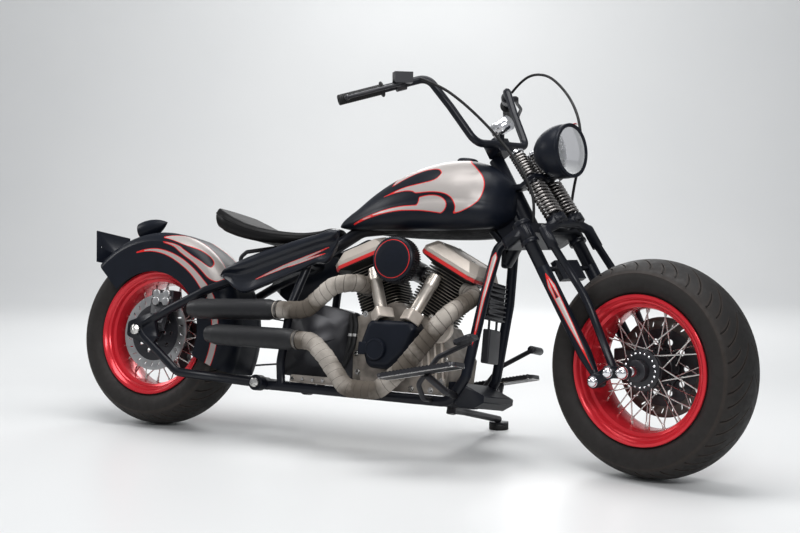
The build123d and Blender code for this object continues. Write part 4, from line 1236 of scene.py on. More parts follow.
@dataclass
class Bodywork(Group):
    """Tank, fender, side panels and saddle."""

    fender_r: float = 364.0
    fender_half: float = 111.0
    fender_span: tuple[float, float] = (-20.0, 138.0)
    sheet: float = 3.0
    skirt_r: float = 214.0
    unroll_r: float = 300.0

    def build(self) -> None:
        """Make every piece of bodywork."""
        self.tank()
        self.fender()
        self.panels()
        self.saddle()

    def tank(self) -> None:
        """Teardrop tank with pearl scallops and a sheet of painted shade under it."""
        # Station, bottom, top, half width and corner.
        table = [
            (690, 724, 734, 8, 4),
            (700, 722, 744, 18, 8),
            (730, 718, 765, 40, 15),
            (770, 714, 789, 64, 22),
            (830, 710, 832, 95, 34),
            (900, 708, 874, 124, 44),
            (975, 707, 910, 144, 52),
            (1050, 708, 934, 157, 58),
            (1115, 709, 945, 161, 60),
            (1180, 712, 945, 160, 60),
            (1235, 717, 932, 147, 58),
            (1275, 724, 911, 126, 56),
            (1305, 738, 886, 98, 48),
            (1326, 757, 858, 64, 36),
            (1336, 776, 836, 34, 20),
            (1339, 800, 815, 8, 5),
        ]
        columns = np.array(table, float)
        stations = np.concatenate([np.linspace(690, 1300, 170), np.linspace(1303, 1339, 18)])
        rings = []
        for x in stations:
            low, high, half, corner = self._section(columns, x)
            waist = low + (high - low) * 0.38
            side = [Vector((s * (half - corner) / 10, low)) for s in range(10)]
            knee = (half - corner * 0.22, low + corner * 0.25)
            side += arc((half - corner, low), knee, (half, waist), 14)[:-1]
            side += arc((half, waist), (half * 0.78, low + (high - low) * 0.80), (0, high), 56)
            rings.append(self._whole(x, side))
        # A near-black matt sheet just under the floor of the tank is painted shade, standing in for the shade
        # beneath it.
        floor = []
        for ring in rings[12:-24]:
            middle, right, left = ring[0], ring[9], ring[-9]
            under = [(x, y, z - 0.6) for x, y, z in (right, middle, left)]
            floor.append([middle, right, *under, left])
        self.fit(Shape().rings(floor), "tank_shade_sheet", UNDER_TANK_SHADE)
        shape = Shape().rings(rings)
        piece = self.fit(shape, "tank_shell", SCALLOPS, ["fuel_tank"], 50.0)
        spots = self.shop.spots(piece, self.axes)[:, [0, 2]]
        panel = [
            (905, 813), (905, 813), (949, 823), (993, 829), (1024, 827), (1040, 821), (1089, 824),
            (1127, 822), (1157, 813), (1178, 794), (1188, 772), (1183, 755), (1183, 755), (1210, 765),
            (1238, 785), (1256, 812), (1260, 848), (1247, 880), (1217, 910), (1170, 948), (1150, 990),
            (1150, 990), (940, 990), (940, 990), (930, 850), (930, 850),
        ]
        capsule = [
            (880, 800), (880, 800), (979, 836), (1047, 850), (1093, 861), (1110, 875), (1113, 891),
            (1090, 905), (1041, 901), (985, 880), (932, 852), (880, 826), (880, 826),
        ]
        wing = [
            (776, 727), (776, 727), (835, 745), (917, 764), (982, 774), (1054, 777), (1054, 777),
            (1055, 804), (1055, 804), (1091, 810), (1125, 807), (1148, 793), (1155, 777), (1149, 763),
            (1139, 755), (1139, 755), (1106, 759), (1055, 763), (982, 763), (917, 756), (835, 741),
        ]
        self.shop.mark(piece, "scallop", self._scallops(spots, panel, capsule, wing))
        lid = [(0, 0), (34, 0), (36, 4), (34, 14), (30, 18), (0, 20)]
        cap = Shape().lathe(lid, place((1140, 0, 941), (0.02, 0, 1)), 40)
        self.fit(cap, "tank_cap", BLACK)

    @staticmethod
    def _curve(x: float, xs: np.ndarray, ys: np.ndarray) -> float:
        """Smooth value of a table column at a station.

        Args:
            x: The station.
            xs: Stations of the table.
            ys: The column.

        Returns:
            The value.
        """
        i = int(np.clip(np.searchsorted(xs, x) - 1, 0, len(xs) - 2))
        slopes = np.gradient(ys, xs)
        run = xs[i + 1] - xs[i]
        t = (x - xs[i]) / run
        h = (2 * t**3 - 3 * t**2 + 1, t**3 - 2 * t**2 + t, -2 * t**3 + 3 * t**2, t**3 - t**2)
        return float(h[0] * ys[i] + h[1] * run * slopes[i] + h[2] * ys[i + 1] + h[3] * run * slopes[i + 1])

    @classmethod
    def _section(cls, table: np.ndarray, x: float) -> list[float]:
        """Columns of a table, after its first one, at a station of the first."""
        return [cls._curve(x, table[:, 0], column) for column in table.T[1:]]

    @staticmethod
    def _whole(x: float, side: Sequence[Vector]) -> list[Point]:
        """Ring at a station from its right half."""
        return [(x, -p[0], p[1]) for p in side] + [(x, p[0], p[1]) for p in side[-2:0:-1]]

    @staticmethod
    def _scallops(
        spots: np.ndarray, panel: list[Point], hollow: list[Point], blade: list[Point]
    ) -> np.ndarray:
        """Signed distance to the pearl paint.

        Args:
            spots: Points to measure.
            panel: Outline of the main panel.
            hollow: Outline of what is left out of it.
            blade: Outline of the second panel.

        Returns:
            One distance for each point, negative on pearl.
        """
        main, out, second = (distance_to(smooth_loop(loop), spots) for loop in (panel, hollow, blade))
        return np.minimum(np.maximum(main, -out), second)

    def fender(self) -> None:
        """Deep rear fender with pearl scallops and a rolled edge."""
        radius, half, sheet, skirt = self.fender_r, self.fender_half, self.sheet, self.skirt_r
        outside = [Vector((r, -half)) for r in np.linspace(skirt + 1, radius - 43, 32)]
        outside += arc((radius - 40, -half), (radius - 12, -half + 24), (radius - 2, -half + 66), 22)
        outside += arc((radius - 2, -half + 66), (radius - 0.4, -18), (radius, 0), 12)[1:]
        edge = [Vector((skirt, -half + 1)), Vector((skirt, -half + sheet))]
        inside = [Vector((skirt + 1, -half + sheet)), Vector((radius - 40, -half + sheet))]
        bend = (radius - 40, -half + sheet), (radius - 14, -half + 26), (radius - 5, -half + 66)
        inside += arc(*bend, 8)[1:]
        inside.append(Vector((radius - sheet, 0)))
        right = edge[::-1] + outside
        section = right + [Vector((p.x, -p.y)) for p in right[-2::-1]]
        lining = inside + [Vector((p.x, -p.y)) for p in inside[-2::-1]]
        loop = section + lining[::-1]
        rear = self.shop.machine.rear
        rings, count = [], 240
        first, last = self.fender_span
        for i in range(count + 1):
            turn = math.radians(first + (last - first) * i / count)
            rings.append([(p.x * math.cos(turn), p.y, p.x * math.sin(turn)) for p in loop])
        shape = Shape().rings(rings)
        piece = self.shop.fit(shape, "fender_shell", rear, SCALLOPS, self.body, ["rear_fender"], 50.0)
        spots = self.shop.spots(piece, rear)
        turn = np.degrees(np.arctan2(spots[:, 2], spots[:, 0]))
        reach = np.hypot(spots[:, 0], spots[:, 2])
        over = np.where(reach > radius - 39, half - np.abs(spots[:, 1]), 0.0)
        flat = np.stack([np.radians(turn) * self.unroll_r, np.minimum(reach, radius - 26) + over], axis=1)
        panel = [
            (86, 348), (86, 348), (79, 366), (73, 388), (66, 402), (58, 402), (49, 396), (41.6, 390),
            (37, 380), (34.8, 362), (35.2, 331), (40, 312), (47.5, 306), (56, 304), (63.7, 303),
            (70, 307), (76, 316), (84, 321), (84, 321), (88, 334), (88, 334),
        ]
        capsule = [
            (95, 353), (95, 353), (86, 347), (72, 341), (64, 350), (56.6, 360), (50, 365), (46, 360),
            (44.3, 346), (47.3, 332), (57.9, 318), (67, 318), (72.8, 323), (84, 321.5), (95, 320),
            (95, 320),
        ]
        tail = [
            (107, 292), (107, 292), (98, 294), (88.5, 294), (77, 290), (65, 287), (52.7, 286),
            (42.4, 289), (34, 296), (24, 302), (10, 302), (-40, 304), (-40, 304), (-40, 281), (-40, 281),
            (10, 279), (24, 276), (36, 268), (46, 267), (56.8, 268), (67.6, 271), (80.8, 280), (94, 288),
        ]
        outlines = (panel, capsule, tail)
        loops = [[(math.radians(a) * self.unroll_r, g) for a, g in outline] for outline in outlines]
        self.shop.mark(piece, "scallop", self._scallops(flat, *loops))

    def panels(self) -> None:
        """Smooth panels with a ridge on top and a hollow below it, both sides."""
        # Station, top, bottom and reach to the side.
        rows = [
            [322, 336, 360, 390, 420, 450, 480, 540, 600, 680, 742, 752],
            [528, 545, 561, 577, 591, 603, 614, 634, 655, 682, 702, 700],
            [524, 520, 506, 484, 472, 474, 486, 512, 540, 582, 620, 650],
            [158, 168, 175, 179, 180, 180, 180, 177, 171, 156, 140, 134],
        ]
        table = np.array(rows, float).T
        # Share of the way down and how far in the sheet lies there.
        profile = [
            (0.0, 26), (0.015, 17), (0.05, 8), (0.11, 2), (0.17, 0), (0.24, 1), (0.31, 6), (0.38, 14),
            (0.46, 20), (0.58, 22), (0.70, 20), (0.81, 15), (0.89, 11), (0.95, 10), (0.985, 13),
            (1.0, 20),
        ]
        rings = []
        for x in np.linspace(*table[[0, -1], 0], 150):
            top, low, out = self._section(table, x)
            taper = min(1.0, (top - low) / 70)
            face = [(x, -(out - inset * taper), top - (top - low) * share) for share, inset in profile]
            rings.append(self._fine(face, 4) + [(x, -(out - 24 * taper), low), (x, -(out - 29 * taper), top)])
        shape = Shape().rings(rings).both_sides()
        piece = self.fit(shape, "panel_sheet", PANEL_PAINT, ["side_covers"], 80.0)
        spots = self.shop.spots(piece, self.axes)[:, [0, 2]]
        leaf = [
            (470, 520), (470, 520), (560, 556), (630, 588), (722, 640), (722, 640), (640, 602),
            (560, 566),
        ]
        spear = [(590, 566), (590, 566), (650, 590), (712, 618), (712, 618), (648, 596)]
        blades = np.minimum(distance_to(smooth_loop(leaf), spots), distance_to(smooth_loop(spear), spots))
        self.shop.mark(piece, "scallop", blades * 1.7)

    @staticmethod
    def _fine(points: Sequence[Point], parts: int) -> list[Vector]:
        """Points of a path with even steps put between them.

        Args:
            points: Points of the path.
            parts: Steps between two points.

        Returns:
            The finer path.
        """
        spots = [Vector(p) for p in points]
        made = [a.lerp(b, k / parts) for a, b in zip(spots, spots[1:]) for k in range(parts)]
        return made + [spots[-1]]

    def saddle(self) -> None:
        """Leather solo saddle with a rolled edge and a welt."""
        # Station, bottom, top, half width and corner.
        table = np.array(
            [
                (236, 744, 770, 60, 10),
                (246, 724, 770, 100, 14),
                (290, 690, 754, 148, 20),
                (340, 671, 733, 158, 22),
                (400, 657, 712, 158, 22),
                (470, 648, 697, 150, 20),
                (530, 648, 692, 124, 18),
                (590, 656, 694, 88, 14),
                (640, 672, 704, 66, 12),
                (684, 692, 716, 42, 9),
                (694, 698, 714, 24, 6),
            ],
            float,
        )
        first, last = table[[0, -1], 0]
        dish_long, dish_deep, steps = 330, 10, 12
        rings = []
        for x in np.linspace(first, last, 64):
            low, high, half, corner = self._section(table, x)
            along = (x - first) / dish_long
            dish = dish_deep * math.sin(math.pi * along) if along < 1 else 0.0
            top = []
            for k in range(1, steps + 1):
                share = 1 - k / steps
                hollow = dish * math.cos(share * math.pi / 2) * (1 - share**4)
                top.append(Vector(((half - corner) * share, high - hollow + 3 * (1 - share**2))))
            side = [Vector(((half - corner) * k / 6, low + 4)) for k in range(6)]
            roll = arc((half - corner, low + 2), (half, (low + high) / 2 - 4), (half - corner, high), 10)
            rings.append(self._whole(x, side + roll + top))
        piece = self.fit(Shape().rings(rings), "saddle_pad", LEATHER, ["seat"], 70.0)
        welt = Shape()
        edge = []
        for x in np.linspace(240, 692, 90):
            low, high, half, corner = self._section(table, x)
            edge.append((x, -half + corner * 0.12, high - (high - low) * 0.32))
        welt.pipe(edge, 2.6, 10)
        self.fit(welt.both_sides(), "saddle_welt", LEATHER)


@dataclass
class Engine(Group):
    """V-twin with finned barrels, banded rocker covers and pushrod tubes."""

    crank: Point = (978.0, 0.0, 274.0)
    tilts: tuple[float, float] = (-23.0, 27.0)
    deck: float = 185.0
    cover: float = 358.0
    fins: int = 17
    fin_pitch: float = 9.8
    cleaner: Point = (991.0, -125.0, 602.0)

    def build(self) -> None:
        """Make every piece of the engine."""
        self.barrels()
        self.covers()
        self.pushrods()
        self.timing_cover()
        self.air_cleaner()
        self.cases()
        self.caliper()

    def bank(self, tilt: float) -> Matrix:
        """Matrix that stands Z on one barrel's axis.

        Args:
            tilt: Lean of the barrel forward, in degrees.

        Returns:
            The matrix.
        """
        turn = math.radians(tilt)
        across = Vector((math.cos(turn), 0.0, -math.sin(turn)))
        up = Vector((math.sin(turn), 0.0, math.cos(turn)))
        frame = Matrix((across, up.cross(across), up)).transposed().to_4x4()
        return Matrix.Translation(Vector(self.crank)) @ frame

    def fin_outline(self, half: float) -> list[Vector]:
        """Rounded square of a fin."""
        return oblong(half, half - 3, 28)

    def barrels(self) -> None:
        """Close fins with worn bright edges."""
        black, bright = Shape(), Shape()
        row = {"Count": self.fins, "Offset": (0.0, 0.0, self.fin_pitch)}
        first = Matrix.Translation((0, 0, self.deck + 8))
        low, high = self.deck + 1, self.cover - 1
        edges = [self.fin_outline(76.3), self.fin_outline(75.2)]
        plates = ((black, [self.fin_outline(76)], 3.0, 0.8), (bright, edges, 1.5, 0.0))
        for tilt in self.tilts:
            bank = self.bank(tilt)
            for shape, outlines, thick, edge in plates:
                fin = Shape().plate(outlines, thick, first, edge)
                stack = fin.repeated(Trees.rowed(), row).mesh()
                stack.transform(bank)
                shape.take(stack)
            core = Shape().lathe([(0, low), (60, low), (60, high), (0, high)], bank, 48)
            black.take(core.mesh())
        self.fit(black, "barrel_fins", FIN_BLACK, ["cylinders"])
        self.fit(bright, "barrel_fin_edges", WORN_EDGE, ["cylinders"])

    @staticmethod
    def _octagon(where: Matrix, length: float, width: float, cut: float, height: float) -> list[Vector]:
        """Rectangle with cut corners.

        Args:
            where: Places the rectangle.
            length: Its size along X.
            width: Its size along Y.
            cut: How much each corner loses along each side.
            height: Its height.

        Returns:
            The placed corners.
        """
        x, y = length / 2, width / 2
        right = [(x, y - cut), (x - cut, y), (cut - x, y), (-x, y - cut)]
        left = [(-x, cut - y), (cut - x, -y), (x - cut, -y), (x, cut - y)]
        return [where @ Vector((a, b, height)) for a, b in right + left]

    def covers(self) -> None:
        """Pale lids over a red band, with bolts."""
        lids, bands, heads, bolts = Shape(), Shape(), Shape(), Shape()
        # Length, width, corner and height above the head.
        band = [(210, 214, 20, 0.5), (212, 216, 20, 1.5), (212, 216, 20, 11), (212, 216, 20, 12)]
        head = [(150, 150, 30, -16), (206, 210, 20, -3), (206, 210, 20, 1)]
        lid = [
            (209, 213, 20, 12), (211, 215, 20, 14), (211, 215, 20, 24), (176, 186, 26, 52),
            (170, 180, 26, 55), (150, 160, 24, 55), (146, 156, 24, 53),
        ]
        bolt = [(0, 0), (8, 0), (8, 1.5), (6, 1.5), (6, 5), (0, 5)]
        for tilt in self.tilts:
            bank = self.bank(tilt)
            for shape, table in ((bands, band), (heads, head), (lids, lid)):
                shape.rings([self._octagon(bank, *sizes, self.cover + high) for *sizes, high in table])
            for x in (-62, 62):
                for y in (-64, 64):
                    bolts.lathe(bolt, bank @ Matrix.Translation((x, y, self.cover + 53)), 12)
        self.fit(lids, "rocker_lids", CHAMPAGNE, ["rocker_covers"], 14.0)
        self.fit(bands, "rocker_bands", BAND_RED, ["rocker_covers"], 14.0)
        self.fit(heads, "rocker_heads", FIN_BLACK, ["rocker_covers"], 14.0)
        self.fit(bolts, "rocker_bolts", STEEL)

    def pushrods(self) -> None:
        """Stepped pushrod tubes in their bolted blocks."""
        tubes, blocks, bolts = Shape(), Shape(), Shape()
        steps = [(0.0, 20), (0.74, 20), (0.745, 20.5), (0.75, 22.5), (0.90, 22.5), (0.905, 19.5), (1.0, 19.5)]
        hexagon = [(0, 0), (4.6, 0), (4.6, 4), (3.6, 5), (0, 5)]
        for start, end in (((960, -150, 418.0), (880, -92, 574)), ((1060, -150, 416.6), (1106, -92, 562))):
            way = Vector(end) - Vector(start)
            long = way.length
            profile = [(0.0, 0.0)] + [(r, share * long) for share, r in steps] + [(0.0, long)]
            foot = place(start, way)
            tubes.lathe(profile, foot, 40)
            blocks.plate([oblong(30, 25, 6), circle(19.6)], 38, foot @ Matrix.Translation((0, 0, 6)), 2.5)
            for x in (-23, 23):
                for y in (-18, 18):
                    bolts.lathe(hexagon, foot @ Matrix.Translation((x, y, 24.6)), 6)
        self.fit(tubes, "pushrod_sleeves", ALUMINIUM, ["pushrod_tubes"])
        self.fit(blocks, "pushrod_blocks", CHAMPAGNE)
        self.fit(bolts, "pushrod_bolts", STEEL, crease=20.0)

    def timing_cover(self) -> None:
        """Soft black cover with a round cap and a small box."""
        corners_xz = [
            (898, 330), (922, 408), (1076, 408), (1092, 386), (1058, 300), (1004, 254), (930, 254),
        ]
        shape = Shape().cushion(round_corners(corners_xz, 30), 104, 181, 22, RIGHT_SIDE)
        cap = [(0, 0), (35, 0), (35, 15), (33, 18.5), (29.5, 19.5), (28.5, 18), (0, 18.6)]
        shape.lathe(cap, place((962, -174, 312), TO_RIGHT), 56)
        shape.plate([oblong(14, 20, 4)], 14, Matrix.Translation((914, -180, 314)) @ RIGHT_SIDE, 2.5)
        self.fit(shape, "timing_cover", BLACK, ["cam_cover"], 32.0)

    def air_cleaner(self) -> None:
        """Domed round cover with a ribbed rim and one red line."""
        seat = place(self.cleaner, TO_RIGHT)
        dome = [(0, 66), (20, 65.5), (40, 63.5), (56, 60.5), (66, 57), (70, 54.5), (71, 53.5)]
        lid, parts, fine = Shape(), 24, []
        for (r, h), (q, k) in zip(dome, dome[1:]):
            fine += [(r + (q - r) * i / parts, h + (k - h) * i / parts) for i in range(parts)]
        lid.lathe(fine + [(71.5, 52), (68, 50), (0, 50)], seat, 96)
        piece = self.fit(lid, "air_cleaner_lid", SCALLOPS, ["air_cleaner"])
        spots = self.shop.spots(piece, self.axes)
        reach = np.hypot(spots[:, 0] - self.cleaner[0], spots[:, 2] - self.cleaner[2])
        self.shop.mark(piece, "scallop", np.abs(reach - 61) * 2.4 + 0.1)
        body = Shape().lathe([(0, 0), (69, 0), (70.5, 2), (70.5, 49), (0, 49)], seat, 72)
        body.lathe(puck(34, 158), place((991, 33, 583), (0, -1, 0.08)), 40)
        body.lathe(puck(25, 91), place((942.8, 0, 578), (1, 0, 0)), 32)
        rib = Shape().pipe([(73.2, 3, 0), (73.2, 46, 0)], 2.2, 8)
        ribs = rib.turned(60).mesh()
        ribs.transform(Matrix.Translation(self.cleaner) @ Matrix.Rotation(math.pi, 4, "Z"))
        body.take(ribs)
        self.fit(body, "air_cleaner_body", ENGINE_BLACK, ["air_cleaner"])

    def cases(self) -> None:
        """Bolts, ribs, sump and breather hoses round the cases."""
        bolt = [(0, 0), (6.5, 0), (6.5, 5), (5, 6.5), (0, 6.5)]
        bolts = Shape()
        spots = [
            (1172, 300), (1166, 232), (1128, 200), (1060, 200), (990, 200), (900, 204), (862, 240),
            (852, 300), (1108, 428), (872, 428),
        ]
        for x, z in spots:
            bolts.lathe(bolt, place((x, -104.5, z), TO_RIGHT), 6)
            bolts.lathe(puck(10, 2), place((x, -104, z), TO_RIGHT), 20)
        hexes = Shape().lathe(bolt, place((612, -92.5, 201), TO_RIGHT), 6)
        bolts.take(hexes.repeated(Trees.rowed(), {"Count": 6, "Offset": (39.0, 0.0, 0.0)}).mesh())
        self.fit(bolts, "case_bolts", STEEL, crease=20.0)
        ribs, slat = Shape(), oblong(3, 62, 2.5)
        for x in (1090, 1114, 1138, 1162):
            ribs.plate([slat], 9, place((x, -106, 288), TO_RIGHT, 8), 1.2)
        pan = round_corners([(596, -93), (826, -93), (826, 93), (596, 93)], 12)
        ribs.plate([pan], 26, Matrix.Translation((0, 0, 202)), 3)
        boss = [(0, 0), (44, 0), (46, 3), (46, 10), (40, 16), (0, 18)]
        ribs.lathe(boss, place((1146, -104, 394), TO_RIGHT), 40)
        self.fit(ribs, "case_ribs", CHAMPAGNE)
        hoses, clamps = Shape(), Shape()
        for dx, dy in ((0.0, 0.0), (20.0, -6.0)):
            run = [
                (800 + dx, -60, 424),
                (820 + dx, -112 + dy, 424),
                (838 + dx, -128 + dy, 386),
                (836 + dx, -130 + dy, 320),
                (812, -116, 246),
                (780, -100, 228),
            ]
            hoses.pipe(bent(run, 40, 5), 7.5, 14)
            clamp = place((837 + dx, -129 + dy, 360), (0, 0, -1))
            clamps.lathe([(7.5, 0), (9, 0), (9, 9), (7.5, 9)], clamp, 20, True)
        self.fit(hoses, "case_hoses", GRIP_RUBBER)
        self.fit(clamps, "hose_clamps", STEEL)

    def caliper(self) -> None:
        """Polished four-lobe face on the rear caliper."""
        lobes = Shape()
        lobe = [(0, 0), (16, 0), (16, 5), (14, 8), (11, 9), (0, 9)]
        for x, z in ((17, 110), (59, 110), (17, 136), (59, 136)):
            lobes.lathe(lobe, place((x, -97, z), TO_RIGHT), 32)
        lobes.plate([oblong(24, 16, 6)], 8, Matrix.Translation((38, -100, 123)) @ RIGHT_SIDE, 1.5)
        for x in (-2, 78):
            lobes.lathe(puck(6, 6), place((x, -97, 123), TO_RIGHT), 6)
        self.shop.fit(lobes, "rear_caliper_face", self.shop.machine.rear, DISC_STEEL, self.body)


@dataclass
class Exhaust(Group):
    """Two wrapped headers into two straight mufflers."""

    pipe_r: float = 28.5

    def build(self) -> None:
        """Make the headers and the bands at their ends."""
        rear = [(860, -73.6, 522), (856, -170, 524), (790, -190, 508), (700, -192, 424), (582.7, -190, 419)]
        front = [
            (1192.6, -46, 526.0),
            (1234, -60, 508),
            (1192, -172, 432),
            (1076, -208, 258),
            (1000, -212, 184),
            (884, -212, 182),
            (800, -212, 276),
            (742, -210, 324),
            (678.7, -210, 324),
        ]
        shape = Shape()
        for corners_of in (rear, front):
            shape.pipe(bent(corners_of, 62, 2.4), self._lapped, 36)
        self.fit(shape, "header_wrap", TAPE, ["headers"], 60.0)
        bands = Shape()
        ends = (
            ((597, -190, 419.6), (-1, 0, 0)),
            ((692, -210, 324), (-1, 0, 0)),
            ((860, -82, 519), TO_RIGHT),
            ((1199, -46, 523), (0.9, 0, -0.45)),
        )
        for at, way in ends:
            bands.lathe([(28.6, 0), (31.4, 0.5), (31.4, 8.5), (28.6, 9)], place(at, way), 40, True)
        self.fit(bands, "header_bands", DARK_STEEL)

    def _lapped(self, far: float, turn: float) -> float:
        """Radius of tape laid in overlapping turns.

        Args:
            far: Distance along the pipe.
            turn: Angle round it.

        Returns:
            The radius.
        """
        share = (far / WRAP_PITCH + turn / TURN) % 1.0
        lap = 1.9 * share * (1 - ramp(share, 0.9, 1.0))
        return self.pipe_r - 0.7 + lap + 0.25 * math.sin(5 * turn + far * 0.11)


@dataclass
class Springer(Group):
    """Springer fork: coil springs, painted legs, chrome caps and links."""

    body: Body = Body.FORK
    spring_y: float = 46.0
    rod_a: float = 128.0
    rod_lean: float = 24.0
    rod_t: float = 132.0
    leg_y: float = 128.0
    leg_a: float = 57.0
    leg_r: float = 21.0
    front_a: float = 116.0
    ankle_t: float = -544.0
    pivot_t: float = -634.0
    stripe_top: float = -250.0

    @property
    def axes(self) -> Axes:
        """Axes along the steering stem."""
        return self.shop.machine.springer

    def build(self) -> None:
        """Make every piece of the fork."""
        self.springs()
        self.stripes()
        self.caps()

    def rod_point(self, along: float, side: float) -> Vector:
        """Point on a spring rod at one height."""
        lean = self.rod_lean * (along + self.rod_t) / (2 * self.rod_t)
        return Vector((self.rod_a - lean, side * self.spring_y, along))

    def springs(self) -> None:
        """Main springs below the perch and rebound springs above it."""
        coils, rods, caps = Shape(), Shape(), Shape()
        for side in (-1, 1):
            for low, high, radius, turns, wire in ((-113, 18, 30.0, 10.5, 4.4), (38, 131, 25.0, 8.5, 3.9)):
                start, end = self.rod_point(low, side), self.rod_point(high, side)
                long = (end - start).length
                values = {"Turns": turns, "Radius": radius - wire, "Height": long - 2 * wire, "Wire": wire}
                coil = Trees.run(bpy.data.meshes.new("empty"), Trees.spring(), values)
                coil.transform(place(start, end - start) @ Matrix.Translation((0, 0, wire)))
                coils.take(coil)
            rods.pipe([self.rod_point(-114, side), self.rod_point(140, side)], 13.0, 20)
            top = self.rod_point(131, side)
            way = self.rod_point(140, side) - top
            dome = [(0, 0), (24, 0), (25, 2), (25, 6), (20, 9), (12, 14), (9, 17), (0, 18)]
            caps.lathe(dome, place(top, way), 32)
            for along, radius in ((18.5, 27), (35, 26)):
                caps.lathe(puck(radius, 3), place(self.rod_point(along, side), way), 32)
        self.fit(coils, "fork_coils", SPRING_STEEL, ["fork_springs"], 60.0)
        self.fit(rods, "fork_rods", ENGINE_BLACK)
        self.fit(caps, "fork_spring_caps", CHROME)

    def stripes(self) -> None:
        """Pearl blade with red edges along each rear leg."""
        top, low, steps = self.stripe_top, self.pivot_t + 34, 150
        path = [(self.leg_a, -self.leg_y, top - (top - low) * i / steps) for i in range(steps + 1)]
        shape = Shape().pipe(path, self._leg_size, 64)
        piece = self.fit(shape.both_sides(), "leg_paint", SCALLOPS)
        spots = self.shop.spots(piece, self.axes)
        far = top - spots[:, 2]
        side = np.arctan2(spots[:, 0] - self.leg_a, np.abs(spots[:, 1]) - self.leg_y)
        across = (side - 0.55) * self.leg_r
        width = np.interp(far, [20, 70, 90, 200, 330], [-3, 9.5, 8.5, 5.5, -1.5])
        notch = np.interp(far, [20, 110, 111], [0.0, -6.0, -60.0])
        slit = np.where(far < 111, -(np.abs(across) + notch), -60)
        self.shop.mark(piece, "scallop", np.maximum(np.abs(across) - width, slit))

    def _leg_size(self, far: float, _turn: float) -> float:
        """Radius of the paint down a leg and over the cone at its ankle."""
        cone = min(1.0, max(0.0, (self.ankle_t - (self.stripe_top - far)) / 60))
        return self.leg_r - 8 * cone + 0.35

    def caps(self) -> None:
        """Chrome ball caps on the link pivots and collars under the crown."""
        balls = Shape()
        y = -self.leg_y - 28.6
        for a in (self.leg_a, self.front_a):
            balls.ball((a, y - 1, self.pivot_t), 15.6, 28)
            balls.lathe(puck(16.5, 3), place((a, y + 1, self.pivot_t), TO_RIGHT), 32)
        self.fit(balls.both_sides(), "link_caps", CHROME)
        collars = Shape()
        collar = [(20, 0), (27.5, 0), (28.5, 3), (28.5, 10), (27.5, 13), (20, 13)]
        for t in (-168, -104):
            collars.lathe(collar, place((self.leg_a, -self.leg_y, t), (0, 0, 1)), 40, True)
        self.fit(collars.both_sides(), "crown_collars", FRAME_BLACK)


@dataclass
class Lamp(Group):
    """Bullet headlamp with reflector, bulb and fluted glass."""

    body: Body = Body.FORK
    tilt: float = math.radians(4.0)
    centre: Point = (1534.0, 0.0, 976.0)
    glass_r: float = 73.2
    glass_t: float = 3.0
    dome_r: float = 200.0
    dome_back: float = 188.0
    flute: float = 0.8

    @property
    def axes(self) -> Axes:
        """Axes of the lamp, tilted up a little from the fork's.

        Returns:
            The axes.
        """
        fork = self.shop.machine.fork
        x = fork.x * math.cos(self.tilt) + fork.z * math.sin(self.tilt)
        z = fork.z * math.cos(self.tilt) - fork.x * math.sin(self.tilt)
        return Axes(fork.at(self.centre), x, fork.y, z)

    def build(self) -> None:
        """Make what is inside and on the shell."""
        inward = np.linspace(self.glass_r, 0.4, 44)
        rings = [self._ring(r, self.glass_t, self.flute * (1 - ramp(r, 62, 70))) for r in inward]
        rings += [self._ring(r) for r in np.linspace(0.4, self.glass_r, 16)]
        self.fit(Shape().rings(rings), "lamp_glass", CLEAR, ["headlamp_lens"], 80.0)
        bowl = [
            (73, -6), (66, -22), (54, -40), (38, -54), (20, -62), (0, -64), (0, -66), (22, -64),
            (40, -56), (56, -42), (68, -24), (73.6, -8),
        ]
        self.fit(Shape().lathe(bowl, AHEAD, 64), "lamp_bowl", REFLECTOR, crease=60.0)
        bulb = Shape().ball((-44, 0, 0), 11).lathe([(0, -64), (9, -64), (9, -50), (0, -50)], AHEAD, 20)
        self.fit(bulb, "lamp_bulb", STEEL)
        trim = [(74, -1), (79, 0.6), (83.6, 0.4), (84.6, -3), (84.6, -9), (84, -10), (74, -10)]
        self.fit(Shape().lathe(trim, AHEAD, 72, True), "lamp_rim", BLACK)
        arrow = [(-38, 0), (-12, -9), (-12, 9)]
        flash = Shape().plate([arrow], 1.2, place((0, 0, 83.0), (-0.16, 0, 1)), 0.3)
        self.fit(flash, "lamp_flash", BAND_RED)

    def _ring(self, radius: float, sink: float = 0.0, flute: float = 0.0) -> list[Vector]:
        """Ring of the glass.

        Args:
            radius: Its radius.
            sink: How far it lies behind the outside.
            flute: Height of the upright flutes.

        Returns:
            Points of the ring.
        """
        spots = [(radius * math.cos(t), radius * math.sin(t)) for t in around(180)]
        level = self._dome(radius) - sink
        return [AHEAD @ Vector((x, y, level + flute * math.cos(x / 1.4))) for x, y in spots]

    def _dome(self, radius: float) -> float:
        """Height of the glass at a radius."""
        return math.sqrt(self.dome_r**2 - radius**2) - self.dome_back


